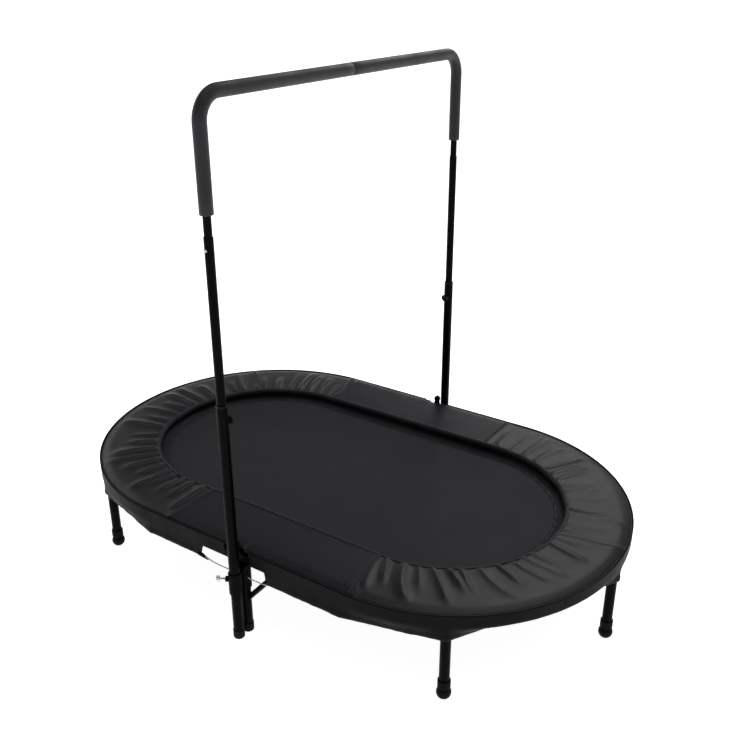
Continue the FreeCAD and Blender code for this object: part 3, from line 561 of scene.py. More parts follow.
def build_mat():
    """The mat: one tight woven sheet across both halves."""
    edge = MAT_HIGH.y
    top, low = MAT_HIGH.z, MAT_LOW.z
    rows = 30
    section = [(edge * i / rows, top) for i in range(rows + 1)]
    section += [(edge + 0.0003, (top + low) / 2)] + [(edge * (1 - i / 8), low) for i in range(9)]

    def shape(s, row):
        radius, height = section[row]
        x, y = oval(s, radius)
        return radius, height + mat_sag(radius, edge, x, y, 0.0005)

    bm = oval_grid(480, [radius for radius, _ in section], 0, 2 * HALF_WAY, shape)
    metres = bm.loops.layers.uv["Metres"]
    for face in bm.faces:
        for loop in face.loops:
            loop[metres].uv = loop.vert.co.xy
    sheet = made(bm, "mat", finishes()["mat_fabric"])
    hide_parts("mat_right", "mat_left")
    return across_fold(sheet)


def build_border(sizes):
    """The webbing sewn round the mat, with its rows of stitches."""
    inner, outer = sizes.border_inner, MAT_HIGH.y + 0.0005
    low, top = MAT_HIGH.z - 0.0008, BORDER_TOP
    rows = 10
    section = [(inner, low), (inner + 0.0002, top - 0.0003)]
    section += [(inner + 0.001 + (outer - inner - 0.002) * i / rows, top) for i in range(rows + 1)]
    section += [(outer - 0.0002, top - 0.0003), (outer, low), (inner, low)]

    def shape(s, row):
        radius, height = section[row]
        x, y = oval(s, radius)
        pucker = 0.0003 * math.sin(s * per_metre(9)) * (row in (3, 4, 11, 12))
        return radius, height + mat_sag(radius, outer, x, y) + pucker

    bm = oval_grid(420, cumulative(section), 0, 2 * HALF_WAY, shape)
    band = made(bm, "mat_border", finishes()["border_webbing"])
    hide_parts("mat_border_right", "mat_border_left")
    across_fold(band)
    bm = bmesh.new()
    for radius in (inner + 0.005, (inner + outer) / 2, outer - 0.008):
        stitch_line(bm, 0, 2 * HALF_WAY, sizes.stitch * 1.6 * RING / radius, lambda s: (
            radius, top + 0.0001 + mat_sag(radius, outer, *oval(s, radius))))
    rows = made(bm, "mat_stitches", finishes()["thread"])
    across_fold(rows)
    return band, rows


def cumulative(section):
    """How far each point of a section is along it."""
    far = [0.0]
    for (r0, z0), (r1, z1) in zip(section, section[1:]):
        far.append(far[-1] + math.hypot(r1 - r0, z1 - z0))
    return far


def build_tabs(hand):
    """The webbing loops that hold the V rings to the mat's edge."""
    bm = bmesh.new()
    wire_x, reach, width, thick, bend = MAT_HIGH.y + 0.0025, 0.013, 0.028, 0.0009, 0.0026
    for place in spring_places(hand):
        path = [Vector((wire_x - reach, 0, bend + 0.0001))]
        path += [Vector((wire_x + bend * math.sin(a), 0, bend * math.cos(a)))
                 for a in [math.radians(d) for d in range(0, 181, 30)]]
        path.append(Vector((wire_x - reach, 0, -bend)))
        strip = bmesh.ops.create_grid(bm, x_segments=len(path) - 1, y_segments=4, size=0.5)["verts"]
        for vert in strip:
            at = path[round((vert.co.x + 0.5) * (len(path) - 1))]
            vert.co = Vector((at.x, vert.co.y * width, at.z))
        faces = list({face for vert in strip for face in vert.link_faces})
        bmesh.ops.recalc_face_normals(bm, faces=faces)
        wall = bmesh.ops.solidify(bm, geom=faces, thickness=-thick)["geom"]
        verts = {v for f in faces for v in f.verts} | {v for v in wall
                                                       if isinstance(v, bmesh.types.BMVert)}
        bmesh.ops.transform(bm, matrix=place, verts=list(verts))
    return made(bm, f"mat_tabs_{hand}", finishes()["border_webbing"],
                body_of_half(hand))


def build_springs(sizes, hand):
    """Zinc-plated extension springs: a close coil, and a straight wire and hook at each end."""
    wire = sizes.wire / 2
    mean = sizes.spring / 2 - wire
    low, high = sizes.spring_low, sizes.spring_low + sizes.coils
    tip, rail = low - 0.0065, RING - RAIL_RADIUS
    one = bmesh.new()
    ring = bmesh.ops.create_circle(one, radius=wire, segments=6, matrix=Matrix.Translation(
        (low, 0, mean)) @ Matrix.Rotation(math.pi / 2, 4, "X"))["verts"]
    edges = list({edge for vert in ring for edge in vert.link_edges})
    steps = 10 * sizes.turns
    bmesh.ops.spin(one, geom=ring + edges, cent=(low, 0, 0), axis=(1, 0, 0),
                   dvec=((high - low) / steps, 0, 0), angle=2 * math.pi * sizes.turns, steps=steps)
    bmesh.ops.holes_fill(one, edges=[edge for edge in one.edges if edge.is_boundary], sides=0)
    for begin, finish in ((tip, low + 0.001), (high - 0.001, rail)):
        bmesh.ops.create_cone(one, cap_ends=True, segments=8, radius1=wire * 1.2, radius2=wire * 1.2,
                              depth=finish - begin, matrix=Matrix.Translation(
                                  ((begin + finish) / 2, 0, 0)) @ Matrix.Rotation(math.pi / 2, 4, "Y"))
    for x in (low, high):
        bmesh.ops.create_cone(one, cap_ends=True, segments=8, radius1=wire, radius2=wire,
                              depth=mean, matrix=Matrix.Translation((x, 0, mean / 2)))
    coil = bpy.data.meshes.new("coil")
    one.to_mesh(coil)
    one.free()
    bm = bmesh.new()
    for place in spring_places(hand):
        before = len(bm.verts)
        bm.from_mesh(coil)
        bm.verts.ensure_lookup_table()
        bmesh.ops.transform(bm, matrix=place, verts=bm.verts[before:])
    bpy.data.meshes.remove(coil)
    thing = made(bm, f"springs_coiled_{hand}", finishes()["zinc"], body_of_half(hand))
    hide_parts(f"springs_{hand}")
    return thing


# ---------------------------------------------------------------- cover

# where the cover's panels are sewn together, along the frame tube, at their inner and outer edges
NEAR_RIGHT = (0.292, 0.318)
FAR_RIGHT = (HALF_WAY - 0.246, HALF_WAY - 0.246)
FAR_LEFT = (HALF_WAY + 0.25, HALF_WAY + 0.31)
NEAR_LEFT = (2 * HALF_WAY - 0.217, 2 * HALF_WAY - 0.221)
LEFT_PIECE = (HALF_WAY + 0.63, HALF_WAY + 0.646)
RIGHT_CLOSURE = (STRAIGHT + RING * math.radians(90), STRAIGHT + RING * math.radians(93.5))
TOP_ROWS = 22                   # rows of the cover's mesh over its top
COVER_COLUMNS = 620             # columns of the cover's mesh round the oval
TRIM_COLUMNS = 560              # columns of the binding and the piping
COVER_TUCK = 0.004              # metres of the cover's top that its rounded edges take up
NOTCH_DEPTH = 0.0072            # metres that the cover stands back from a hinge plate
NOTCH_EDGE = (0.0125, 0.019)    # where the notch ends, along the frame tube from the fold
LIP = 0.004                     # metres from the skirt's face to the cover's outer seam
SEAM_CALM = 0.02                # metres beside a seam in which the gathers rise


def outer_edge(s):
    """The cover's outer radius, notched where the hinge plates pass."""
    notch = NOTCH_DEPTH * (1 - ease(to_fold(s), *NOTCH_EDGE))
    calm = ease(to_fold(s), 0.03, 0.08)
    return PAD_HIGH.y - LIP - notch + 0.0006 * calm * ripple(s * 9, 0.3, 8.1)


def inner_edge(s, sizes):
    """The cover's inner radius, drawn in a little between the gathers."""
    calm = gathered(s, 0.5)
    return sizes.pad_inner + calm * (0.0022 * ripple(s * 22, 3.3, 0.4) + 0.001 * ripple(s * 55, 1, 2))


def seam_at(seam, t):
    return seam[0] + (seam[1] - seam[0]) * t


def gathered(s, t):
    """How much the cover gathers: 1 in the end panels, and 0 in the flat ones and at the seams."""
    share = 0.0
    for first, last in ((NEAR_RIGHT, FAR_RIGHT), (FAR_LEFT, NEAR_LEFT)):
        if seam_at(first, t) <= s <= seam_at(last, t):
            share = ease(min(s - seam_at(first, t), seam_at(last, t) - s), 0.004, SEAM_CALM)
    for seam in (LEFT_PIECE, RIGHT_CLOSURE):
        share *= 1 - 0.85 * (1 - ease(abs(s - seam_at(seam, t)), 0.006, SEAM_CALM))
    return share


def foam_height(s, t, sizes):
    """Height of the foam under the fabric, t of the way from the inner edge to the outer one."""
    flat = 1 - gathered(s, t)
    roll = 0.0034 * ease(t, 0.84, 1.0) ** 2
    soft = 0.0007 * ripple(s * 7, t * 2, 5.5) * ease(to_fold(s), 0.03, 0.1)
    return sizes.foam_edge + 0.0018 * flat + sizes.foam_crown * math.sin(math.pi * t) - roll + soft


def gather_list(sizes):
    """Each gather of the end panels: its place, slant, bow, height, width and reach."""
    rng = random.Random(11)
    gathers = []
    for first, last, left in ((NEAR_RIGHT[0], FAR_RIGHT[0], False), (FAR_LEFT[0], NEAR_LEFT[0], True)):
        s = first + 0.02
        while s < last - 0.015:
            near_end = s < STRAIGHT + RING * math.radians(80) and not left
            slant = rng.uniform(0.035, 0.075) if near_end else rng.uniform(-0.02, 0.015)
            gathers.append((s, slant, rng.uniform(-0.012, 0.012), rng.uniform(0.55, 1.0),
                            rng.uniform(0.007, 0.0125), rng.uniform(0.72, 1.0), rng.random() < 0.45))
            s += sizes.fold_pitch * rng.uniform(0.45, 0.95)
    return gathers


def gather_height(s, t, gathers):
    """Sum of the gathers' ridges at a place on the cover."""
    height = 0.0
    for at, slant, bow, tall, width, reach, short in gathers:
        off = s - at - slant * (t - 0.4) - bow * math.sin(math.pi * t)
        if abs(off) < 0.05:
            along = ease(t, -0.06, 0.1) * (1 - ease(t, reach - 0.18, reach + 0.04))
            if short:
                along *= 1 - ease(t, 0.35, 0.7)
            steep = width * (0.8 if off > 0 else 1.3)
            height = max(height, tall * along * math.exp(-(abs(off) / steep) ** 1.25))
    return height


def cover_section():
    """The cover's section in shares: up the inner edge, over the top, down and back underneath."""
    low = PAD_LOW.z + 0.0005
    up = [("in", 0.003, low), ("in", 0.0005, low + 0.001), ("in", 0, low + 0.0035),
          ("in", 0.0002, None, -0.003), ("in", 0.0014, None, -0.0008)]
    top = [("top", i / TOP_ROWS) for i in range(TOP_ROWS + 1)]
    down = [("out", 0.0014, None, -0.0008), ("out", 0.0002, None, -0.0028),
            ("out", 0, low + 0.0035), ("out", 0.0005, low + 0.001), ("out", 0.003, low)]
    under = [("under", i / 4, low) for i in (1, 2, 3)]
    return up + top + down + under + up[:1]


def build_cover(sizes):
    """The padded cover: one ring of foam in gathered satin, flat along the straight sides."""
    section = cover_section()
    gathers = gather_list(sizes)

    def shape(s, row):
        spot = section[row]
        inner, outer = inner_edge(s, sizes), outer_edge(s)
        if spot[0] == "top":
            t = spot[1]
            radius = inner + COVER_TUCK + (outer - inner - 2 * COVER_TUCK) * t
            fold = gathered(s, t) * gather_height(s, t, gathers)
            return radius, foam_height(s, t, sizes) + sizes.gather_rise * fold
        if spot[0] == "under":
            return outer - 0.003 - (outer - inner - 0.006) * spot[1], spot[2]
        edge, sign, t = (inner, 1, 0) if spot[0] == "in" else (outer, -1, 1)
        height = spot[2] if spot[2] else foam_height(s, t, sizes) + spot[3]
        return edge + sign * spot[1], height

    lengths = cumulative([shape(0.3, row) for row in range(len(section))])
    bm = oval_grid(COVER_COLUMNS, lengths, 0, 2 * HALF_WAY, shape)
    where = []
    metres = bm.loops.layers.uv["Metres"]
    for vert in bm.verts:
        along = vert.link_loops[0][metres].uv
        row = min(range(len(section)), key=lambda i: abs(lengths[i] - along.y))
        where.append((along.x, row))
    for face in bm.faces:
        along = sum(loop[metres].uv.x for loop in face.loops) / 4
        face.material_index = 0 if gathered(along, 0.5) > 0.02 else 1
    bm = fabric_settled(bm, where, section, sizes)
    cover = made(bm, "cover", finishes()["cover_fabric"], sharp=180)
    cover.data.materials.append(finishes()["panel_fabric"])
    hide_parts("pad_right", "pad_left")
    across_fold(cover)
    return cover


def fabric_settled(bm, where, section, sizes):
    """Run a cloth simulation on the cover's top from its laid gathers, and keep what it settles to."""
    mesh = bpy.data.meshes.new("laid")
    bm.to_mesh(mesh)
    bm.free()
    thing = bpy.data.objects.new("laid", mesh)
    bpy.context.scene.collection.objects.link(thing)
    thing.shape_key_add(name="Laid")
    cut = thing.shape_key_add(name="Cut")
    sewn = []
    for i, ((s, row), vert) in enumerate(zip(where, mesh.vertices)):
        spot = section[row]
        t = spot[1] if spot[0] == "top" else (0 if spot[0] == "in" else 1)
        if spot[0] != "top" or t in (0, 1) or gathered(s, t) < 0.05:
            sewn.append(i)
        half = s % HALF_WAY
        hand = 1 if s < HALF_WAY else -1
        centre = Vector((hand * STRAIGHT, 0, 0))
        turn = (half - HALF_WAY / 2) / (HALF_WAY / 2 - STRAIGHT)
        turn = max(-1.0, min(1.0, turn)) * math.radians(90)
        spare = sizes.gathering * turn
        cut.data[i].co = centre + Matrix.Rotation(spare, 3, "Z") @ (vert.co - centre)
        cut.data[i].co.z = foam_height(s, t, sizes)
    group = thing.vertex_groups.new(name="Sewn")
    group.add(sewn, 1.0, "REPLACE")
    cloth = thing.modifiers.new("Cloth", "CLOTH")
    cloth.settings.rest_shape_key = cut
    cloth.settings.vertex_group_mass = group.name
    cloth.settings.quality = 6
    cloth.settings.mass = 0.25
    cloth.settings.tension_stiffness = 30
    cloth.settings.compression_stiffness = 30
    cloth.settings.shear_stiffness = 12
    cloth.settings.bending_stiffness = 0.25
    cloth.settings.air_damping = 3
    cloth.settings.effector_weights.gravity = 0
    cloth.collision_settings.use_collision = False
    frames = 26
    cloth.point_cache.frame_start = 1
    cloth.point_cache.frame_end = frames
    for number in range(1, frames + 1):
        bpy.context.scene.frame_set(number)
    settled = thing.evaluated_get(bpy.context.evaluated_depsgraph_get()).to_mesh()
    places = [vert.co.copy() for vert in settled.vertices]
    starts = [vert.co.copy() for vert in mesh.vertices]
    bpy.context.scene.frame_set(1)
    bm = bmesh.new()
    bm.from_mesh(mesh)
    bm.verts.ensure_lookup_table()
    # metres: the most that a point may move, how softly the fabric lands on the foam, and how
    # far under the highest fold it starts to flatten
    furthest, blend, margin = 0.012, 0.0009, 0.0015
    top = sizes.fold_limit - 0.0004 - margin
    for i, (s, row) in enumerate(where):
        spot = section[row]
        if spot[0] != "top":
            continue
        moved = places[i] - starts[i]
        if moved.length > furthest:
            moved *= furthest / moved.length
        place = starts[i] + moved
        rest = foam_height(s, spot[1], sizes)
        over = place.z - rest
        place.z = rest + (over + math.hypot(over, blend)) / 2
        if place.z > top:
            place.z = top + margin * math.tanh((place.z - top) / margin)
        bm.verts[i].co = place
    for layers in (bm.verts.layers.shape, bm.verts.layers.deform):
        for key in list(layers.keys()):
            layers.remove(layers[key])
    bpy.data.objects.remove(thing)
    bpy.data.meshes.remove(mesh)
    return bm


def cover_top(s, t, sizes):
    """A point of the cover's top where no gather lies."""
    inner, outer = inner_edge(s, sizes), outer_edge(s)
    return inner + (outer - inner) * t, foam_height(s, t, sizes)


def build_binding(sizes):
    """The tape folded over the cover's inner edge, and its stitches."""
    section = [(0.0085, 0.0012), (0.0045, 0.0015), (0.001, 0.001), (-0.0012, -0.0008),
               (-0.0016, -0.004), (-0.0014, -0.0085), (-0.0004, -0.0092), (0.0006, -0.004),
               (0.003, -0.0008), (0.0085, 0.0), (0.0085, 0.0012)]

    def lift(s):
        return 0.0009 * gathered(s, 0) * (1 + ripple(s * 40, 7.7, 0))

    def shape(s, row):
        off, rise = section[row]
        return inner_edge(s, sizes) + off, foam_height(s, 0, sizes) + rise + lift(s) * (off > -0.001)

    bm = oval_grid(TRIM_COLUMNS, cumulative(section), 0, 2 * HALF_WAY, shape)
    # the tape's lighter colour is a painted highlight along the cover's inner edge
    tape = made(bm, "cover_binding", finishes()["binding"], sharp=180)
    across_fold(tape)
    bm = bmesh.new()
    stitch_line(bm, 0, 2 * HALF_WAY, sizes.stitch * 1.5, lambda s: (
        inner_edge(s, sizes) + 0.0062, foam_height(s, 0, sizes) + 0.0018 + lift(s)))
    rows = made(bm, "binding_stitches", finishes()["thread"])
    across_fold(rows)
    return tape, rows


def build_piping(sizes):
    """The piping in the cover's outer seam."""
    sides = 10

    def path(s):
        return outer_edge(s) + 0.0004, foam_height(s, 1, sizes) - 0.0028

    bm = oval_grid(TRIM_COLUMNS, spaced(2 * math.pi * 0.0021, sides), 0, 2 * HALF_WAY,
                   round_section(path, 0.0021, sides))
    piping = made(bm, "cover_piping", finishes()["cover_fabric"], sharp=180)
    return across_fold(piping)


def build_seams(sizes):
    """The felled seams between the cover's panels, each a folded band with two rows of stitches."""
    pieces = []
    named = {"near_right": NEAR_RIGHT, "far_right": FAR_RIGHT, "far_left": FAR_LEFT,
             "near_left": NEAR_LEFT, "left_end": LEFT_PIECE, "right_end": RIGHT_CLOSURE}
    for name, seam in named.items():
        width = 0.007 if name.endswith("end") else 0.013
        hand = "left" if "left" in name else "right"
        bm = bmesh.new()
        bmesh.ops.create_grid(bm, x_segments=6, y_segments=28, size=0.5)
        metres = bm.loops.layers.uv.new("Metres")
        for face in bm.faces:
            for loop in face.loops:
                loop[metres].uv = (loop.vert.co.x * width, loop.vert.co.y * 0.156)
        for vert in bm.verts:
            t = 0.03 + 0.95 * (vert.co.y + 0.5)
            s = seam_at(seam, t) + vert.co.x * width
            radius, height = cover_top(s, t, sizes)
            wave = 0.0003 * ripple(s * 90, t * 20, 2)
            vert.co = (*oval(s, radius), height + 0.0011 - 0.0008 * (abs(vert.co.x) > 0.45) + wave)
        top = list(bm.faces)
        bmesh.ops.recalc_face_normals(bm, faces=top)
        lower = bmesh.ops.extrude_face_region(bm, geom=top)["geom"]
        bmesh.ops.translate(bm, vec=(0, 0, -0.0016),
                            verts=[v for v in lower if isinstance(v, bmesh.types.BMVert)])
        # the seam band takes the lighter webbing finish as a painted highlight along the seam
        band = made(bm, f"cover_seam_{name}", finishes()["border_webbing"],
                    body_of_half(hand), sharp=60)
        bm = bmesh.new()
        rows = 26
        for side in (-0.34, 0.34):
            for i in range(rows):
                ends = []
                for share in (0.15, 0.85):
                    t = 0.04 + 0.93 * (i + share) / rows
                    s = seam_at(seam, t) + side * width
                    radius, height = cover_top(s, t, sizes)
                    ends.append(Vector((*oval(s, radius), height + 0.0014)))
                stitch_between(bm, *ends)
        stitches = made(bm, f"seam_stitches_{name}", finishes()["thread"],
                        body_of_half(hand))
        pieces += [band, stitches]
    return pieces


# ---------------------------------------------------------------- skirt and hem cord

# where the skirt's cut-outs end, along the frame tube from the fold, at their top and at the hem
RIGHT_CUT = (0.081, 0.088)
LEFT_CUT = (0.108, 0.117)
CUT_RISE = 0.03                 # metres that the cut-outs rise above the hem
SKIRT_GAP = 0.037               # metres from the fold to where each half's skirt begins


def hem_radius(s):
    """The hem's radius: it lies against the legs and is drawn straight between them."""
    out = SKIRT_HIGH.y + 0.0012
    half = s % HALF_WAY
    turn = math.degrees((half - STRAIGHT) / RING) - 90
    if not -90 <= turn <= 90:
        return out
    stops = (-90, *LEG_TURNS, 90)
    for first, last in zip(stops, stops[1:]):
        if first <= turn <= last:
            mid, spread = (first + last) / 2, math.radians(last - first) / 2
            chord = RING * math.cos(spread) + LEG_RADIUS + 0.003
            return min(out, chord / math.cos(math.radians(turn - mid)))
    return out


def hem_height(s, sizes):
    """The hem's height, cut up beside the middle legs on both sides."""
    x = signed_x(s)
    droop = 0.0022 * ripple(s * 6, 1.1, 9.3) + 0.0006 * ripple(s * 30, 0.7, 4.4)
    low = sizes.hem + droop * ease(to_fold(s), 0.12, 0.2)
    cut_top = SKIRT_LOW.z + CUT_RISE
    first, last = RIGHT_CUT if x >= 0 else LEFT_CUT
    share = 1 - ease(abs(x), first, last)
    return low + (cut_top - low) * share


def build_skirt(sizes, hand):
    """The skirt: satin that hangs from the piping to an elastic hem, drawn in between the legs."""
    rows = 18
    gap = SKIRT_GAP
    begin = gap if hand == "right" else HALF_WAY + gap
    finish = begin + HALF_WAY - 2 * gap
    turn_in = RAIL_Z - RAIL_RADIUS * 0.55

    def shape(s, row):
        t = row / rows
        low = hem_height(s, sizes)
        height = sizes.skirt_top + (low - sizes.skirt_top) * t
        drawn = ease(turn_in - height, 0, turn_in - sizes.hem)
        out = SKIRT_HIGH.y + 0.0002
        radius = out + (hem_radius(s) - out) * drawn
        full = ease(to_fold(s), 0.1, 0.16)
        radius += full * t * t * (0.0016 * ripple(s * 26, t * 0.8, 3.1) + 0.0009 * ripple(s * 70, t, 6.2))
        casing = ease(t, 0.80, 0.84) * (1 - ease(t, 0.97, 1.0)) * full
        return radius + 0.0011 * casing + 0.0004, height

    width = sizes.skirt_top - sizes.hem
    bm = oval_grid(520, spaced(width, rows), begin, finish, shape)
    flat = sum(face.calc_area() for face in bm.faces)
    # the skirt's finish carries a darker colour as painted shade on the downward-facing cloth
    skirt = made(bm, f"skirt_cloth_{hand}", finishes()["skirt_fabric"],
                 body_of_half(hand), closed=False, sharp=180)
    wall = skirt.modifiers.new("Cloth thickness", "SOLIDIFY")
    wall.thickness = 0.0008
    wall.offset = 0
    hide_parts(f"skirt_{hand}")
    return skirt


def build_hem_cord(sizes, hand):
    """The elastic in the hem, bare across the cut-outs, hooked at the middle legs' brackets."""
    low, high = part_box(f"hem_cord_{hand}")
    thick = 0.0014
    gap = low.x if hand == "right" else max(0.004, -high.x)
    begin = (0 if hand == "right" else HALF_WAY) + gap
    finish = begin + HALF_WAY - 2 * gap
    sides = 8

    def path(s):
        bare = 1 - ease(to_fold(s), 0.075, 0.12)
        sag = 0.003 * math.sin(math.pi * min(1, to_fold(s) / 0.1)) * bare
        inside = hem_radius(s) - 0.0006
        return inside, sizes.hem + 0.0035 - 0.0055 * bare - sag

    bm = oval_grid(460, spaced(2 * math.pi * thick, sides), begin, finish,
                   round_section(path, thick, sides))
    bmesh.ops.remove_doubles(bm, verts=bm.verts, dist=WELD)
    bmesh.ops.holes_fill(bm, edges=[edge for edge in bm.edges if edge.is_boundary], sides=0)
    cord = made(bm, f"hem_elastic_{hand}", finishes()["elastic"], body_of_half(hand),
                sharp=60)
    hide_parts(f"hem_cord_{hand}")
    return cord


def build_casing(sizes):
    """The hem's casing where the elastic leaves it beside the folding half's near leg."""
    bm = bmesh.new()
    tip, mouth = Vector((-0.094, 0, sizes.hem - 0.003)), Vector((-0.126, 0, sizes.hem + 0.0052))
    for end in (tip, mouth):
        end.y = -hem_radius(2 * HALF_WAY + end.x) + 0.0006
    line = tip - mouth
    profile = [(0, 0), (0.0042, 0.0004), (0.0052, 0.003), (0.0046, line.length * 0.4),
               (0.0032, line.length * 0.75), (0.0022, line.length * 0.97), (0.0016, line.length),
               (0, line.length)]
    turn = line.to_track_quat("Z", "X").to_matrix().to_4x4()
    lathe(bm, profile, 20, Matrix.Translation(mouth) @ turn)
    for vert in bm.verts:
        vert.co += Vector((0, 0.0004, 0.0005)) * ripple(*(vert.co * 160))
    return made(bm, "hem_casing_left", finishes()["skirt_fabric"], "folding_frame")


# ---------------------------------------------------------------- grips, feet and knobs

def build_grip(side):
    """A foam sleeve up the post, round the bend and along to the middle of the handlebar."""
    low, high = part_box(f"foam_grip_{side}")
    sign = -1 if side == "near" else 1
    thick = (high.x - low.x) / 2
    x = (high.x + low.x) / 2
    bar_z = high.z - thick
    post_y = (abs(low.y) if sign < 0 else high.y) - thick
    bore, bend = thick * 0.6, 0.054
    seam = 0.0006
    bm = bmesh.new()
    ring = bmesh.ops.create_circle(bm, radius=bore, segments=36, matrix=Matrix.Translation(
        (x, sign * post_y, low.z + 0.004)))["verts"]
    edges = list({edge for vert in ring for edge in vert.link_edges})

    def onward(move, grow=1.0):
        nonlocal ring, edges
        out = bmesh.ops.extrude_edge_only(bm, edges=edges)["geom"]
        ring = [g for g in out if isinstance(g, bmesh.types.BMVert)]
        inside = set(ring)
        edges = [g for g in out if isinstance(g, bmesh.types.BMEdge)
                 and g.verts[0] in inside and g.verts[1] in inside]
        middle_point = sum((v.co for v in ring), Vector()) / len(ring)
        bmesh.ops.scale(bm, vec=(grow,) * 3, verts=ring, space=Matrix.Translation(-middle_point))
        bmesh.ops.translate(bm, vec=move, verts=ring)

    up = Vector((0, 0, 1))
    onward(-0.004 * up)
    onward(Vector(), (thick - 0.002) / bore)
    onward(0.0006 * up, (thick - 0.0006) / (thick - 0.002))
    onward(0.0016 * up, thick / (thick - 0.0006))
    rise = bar_z - bend - (low.z + 0.0022)
    for _ in range(14):
        onward(rise / 14 * up)
    spun = bmesh.ops.spin(bm, geom=ring + edges, cent=(x, sign * (post_y - bend), bar_z - bend),
                          axis=(1, 0, 0), angle=math.radians(90) * (-1 if sign < 0 else 1), steps=18)
    ring = [g for g in spun["geom_last"] if isinstance(g, bmesh.types.BMVert)]
    edges = [g for g in spun["geom_last"] if isinstance(g, bmesh.types.BMEdge)]
    along = Vector((0, -sign, 0))
    run = post_y - bend - seam - 0.0016
    for _ in range(16):
        onward(run / 16 * along)
    onward(0.001 * along, (thick - 0.0005) / thick)
    onward(0.0006 * along, (thick - 0.002) / (thick - 0.0005))
    onward(Vector(), bore / (thick - 0.002))
    for vert in bm.verts:
        vert.co.x += 0.00035 * ripple(vert.co.x * 60, vert.co.y * 9, vert.co.z * 9)
    grip = made(bm, f"foam_sleeve_{side}", finishes()["foam"], "handlebar", sharp=40)
    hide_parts(f"foam_grip_{side}")
    return grip


def build_foot(hand, side):
    """A rubber ball foot: a ribbed sleeve up the leg, a neck, and a ball flattened where it stands."""
    node = f"foot_{hand}_{side}"
    low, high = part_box(node)
    x, y = (low.x + high.x) / 2, (low.y + high.y) / 2
    tall, ball = high.z, (high.x - low.x) / 2
    bore = LEG_RADIUS + 0.0001
    sleeve = bore + 0.0027
    profile = [(0, 0.0102), (bore, 0.0102), (bore, tall - 0.0003), (sleeve - 0.0008, tall),
               (sleeve, tall - 0.0009)]
    for rib in (0.0045, 0.0085, 0.0125):
        profile += [(sleeve, tall - rib + 0.0012), (sleeve - 0.0006, tall - rib + 0.0005),
                    (sleeve - 0.0006, tall - rib - 0.0005), (sleeve, tall - rib - 0.0012)]
    centre = 0.0155
    profile += [(sleeve - 0.0002, 0.0335), (sleeve, 0.0312)]
    for degrees in range(62, -66, -8):
        a = math.radians(degrees)
        if centre + ball * math.sin(a) > 0.0008:
            profile.append((ball * math.cos(a), centre + ball * math.sin(a)))
    profile += [(0.0078, 0.0003), (0.007, 0), (0, 0)]
    bm = bmesh.new()
    lathe(bm, profile, 40, Matrix.Translation((x, y, 0)))
    foot = made(bm, f"foot_ball_{hand}_{side}", finishes()["rubber_black"],
                body_of_half(hand), sharp=35)
    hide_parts(node)
    return foot


def build_pull_knob(side):
    """The pull pin: a steel pin in a domed nylon knob with a finger groove."""
    node = f"height_pin_{side}"
    low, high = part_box(node)
    sign = -1 if side == "near" else 1
    x, z = (low.x + high.x) / 2, (low.z + high.z) / 2
    radius = (high.x - low.x) / 2
    tip = abs(low.y) if sign < 0 else high.y
    base = abs(high.y) if sign < 0 else low.y
    knob = 0.0075
    profile = [(0, 0), (radius * 0.55, 0.0002), (radius * 0.86, 0.0009), (radius, 0.0022),
               (radius, 0.0034), (radius * 0.9, 0.0042), (radius * 0.86, 0.005),
               (radius * 0.9, 0.0059), (radius * 0.98, 0.0064), (radius * 0.98, 0.0071),
               (radius * 0.9, knob), (0.003, knob), (0.003, tip - base - 0.0006),
               (0.0024, tip - base), (0, tip - base)]
    bm = bmesh.new()
    turn = Matrix.Rotation(math.radians(90 if sign < 0 else -90), 4, "X")
    lathe(bm, profile, 36, Matrix.Translation((x, sign * base, z)) @ turn)
    pin = made(bm, f"pull_pin_{side}", finishes()["knob_plastic"], node, sharp=35)
    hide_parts(node)
    return pin


def build_clamp_knob(side):
    """The clamp screw: a chromed thumb wheel with eight finger flutes on a threaded shank."""
    node = f"clamp_knob_{side}"
    joint = next(j for j in frame["joints"] if j["name"] == f"{node}_turn")
    axis, origin = Vector(joint["axis"]).normalized(), Vector(joint["pos_m"])
    mesh = frame["nodes"][node].data
    along = [(v.co - origin).dot(axis) for v in mesh.vertices]
    off = [((v.co - origin) - axis * (v.co - origin).dot(axis)).length for v in mesh.vertices]
    first, last, wheel = min(along), max(along), max(off)
    shank = 0.003
    face = last - 0.009
    profile = [(0, first), (shank - 0.0004, first), (shank, first + 0.0004)]
    pitch = 0.0016
    z = first + 0.001
    while z < face - 0.0025:
        profile += [(shank, z), (shank - 0.0004, z + pitch / 2)]
        z += pitch
    profile += [(shank, face - 0.0012), (wheel * 0.55, face - 0.001), (wheel * 0.6, face),
                (wheel * 0.9, face + 0.0002), (wheel, face + 0.0012), (wheel, face + 0.0066),
                (wheel * 0.92, face + 0.0078), (wheel * 0.5, face + 0.0084), (wheel * 0.42, last),
                (0, last)]
    bm = bmesh.new()
    lathe(bm, profile, 64)
    for vert in bm.verts:
        reach = vert.co.xy.length
        if reach > wheel * 0.85:
            angle = math.atan2(vert.co.y, vert.co.x)
            flute = 0.5 + 0.5 * math.cos(8 * angle)
            vert.co.xy = vert.co.xy * (1 - 0.11 * flute ** 3)
    turn = axis.to_track_quat("Z", "X").to_matrix().to_4x4()
    bmesh.ops.transform(bm, matrix=Matrix.Translation(origin) @ turn, verts=bm.verts)
    knob = made(bm, f"clamp_screw_{side}", finishes()["chrome"], node, sharp=35)
    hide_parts(node)
    return knob


# ---------------------------------------------------------------- stage

def light_at(name, light, place):
    """Stand a light at a place, aimed at the middle of the trampoline."""
    lamp = bpy.data.objects.new(name, light)
    lamp.location = place
    lamp.rotation_euler = (Vector((0, 0, 0.3)) - Vector(place)).to_track_quat("-Z", "Y").to_euler()
    bpy.context.scene.collection.objects.link(lamp)


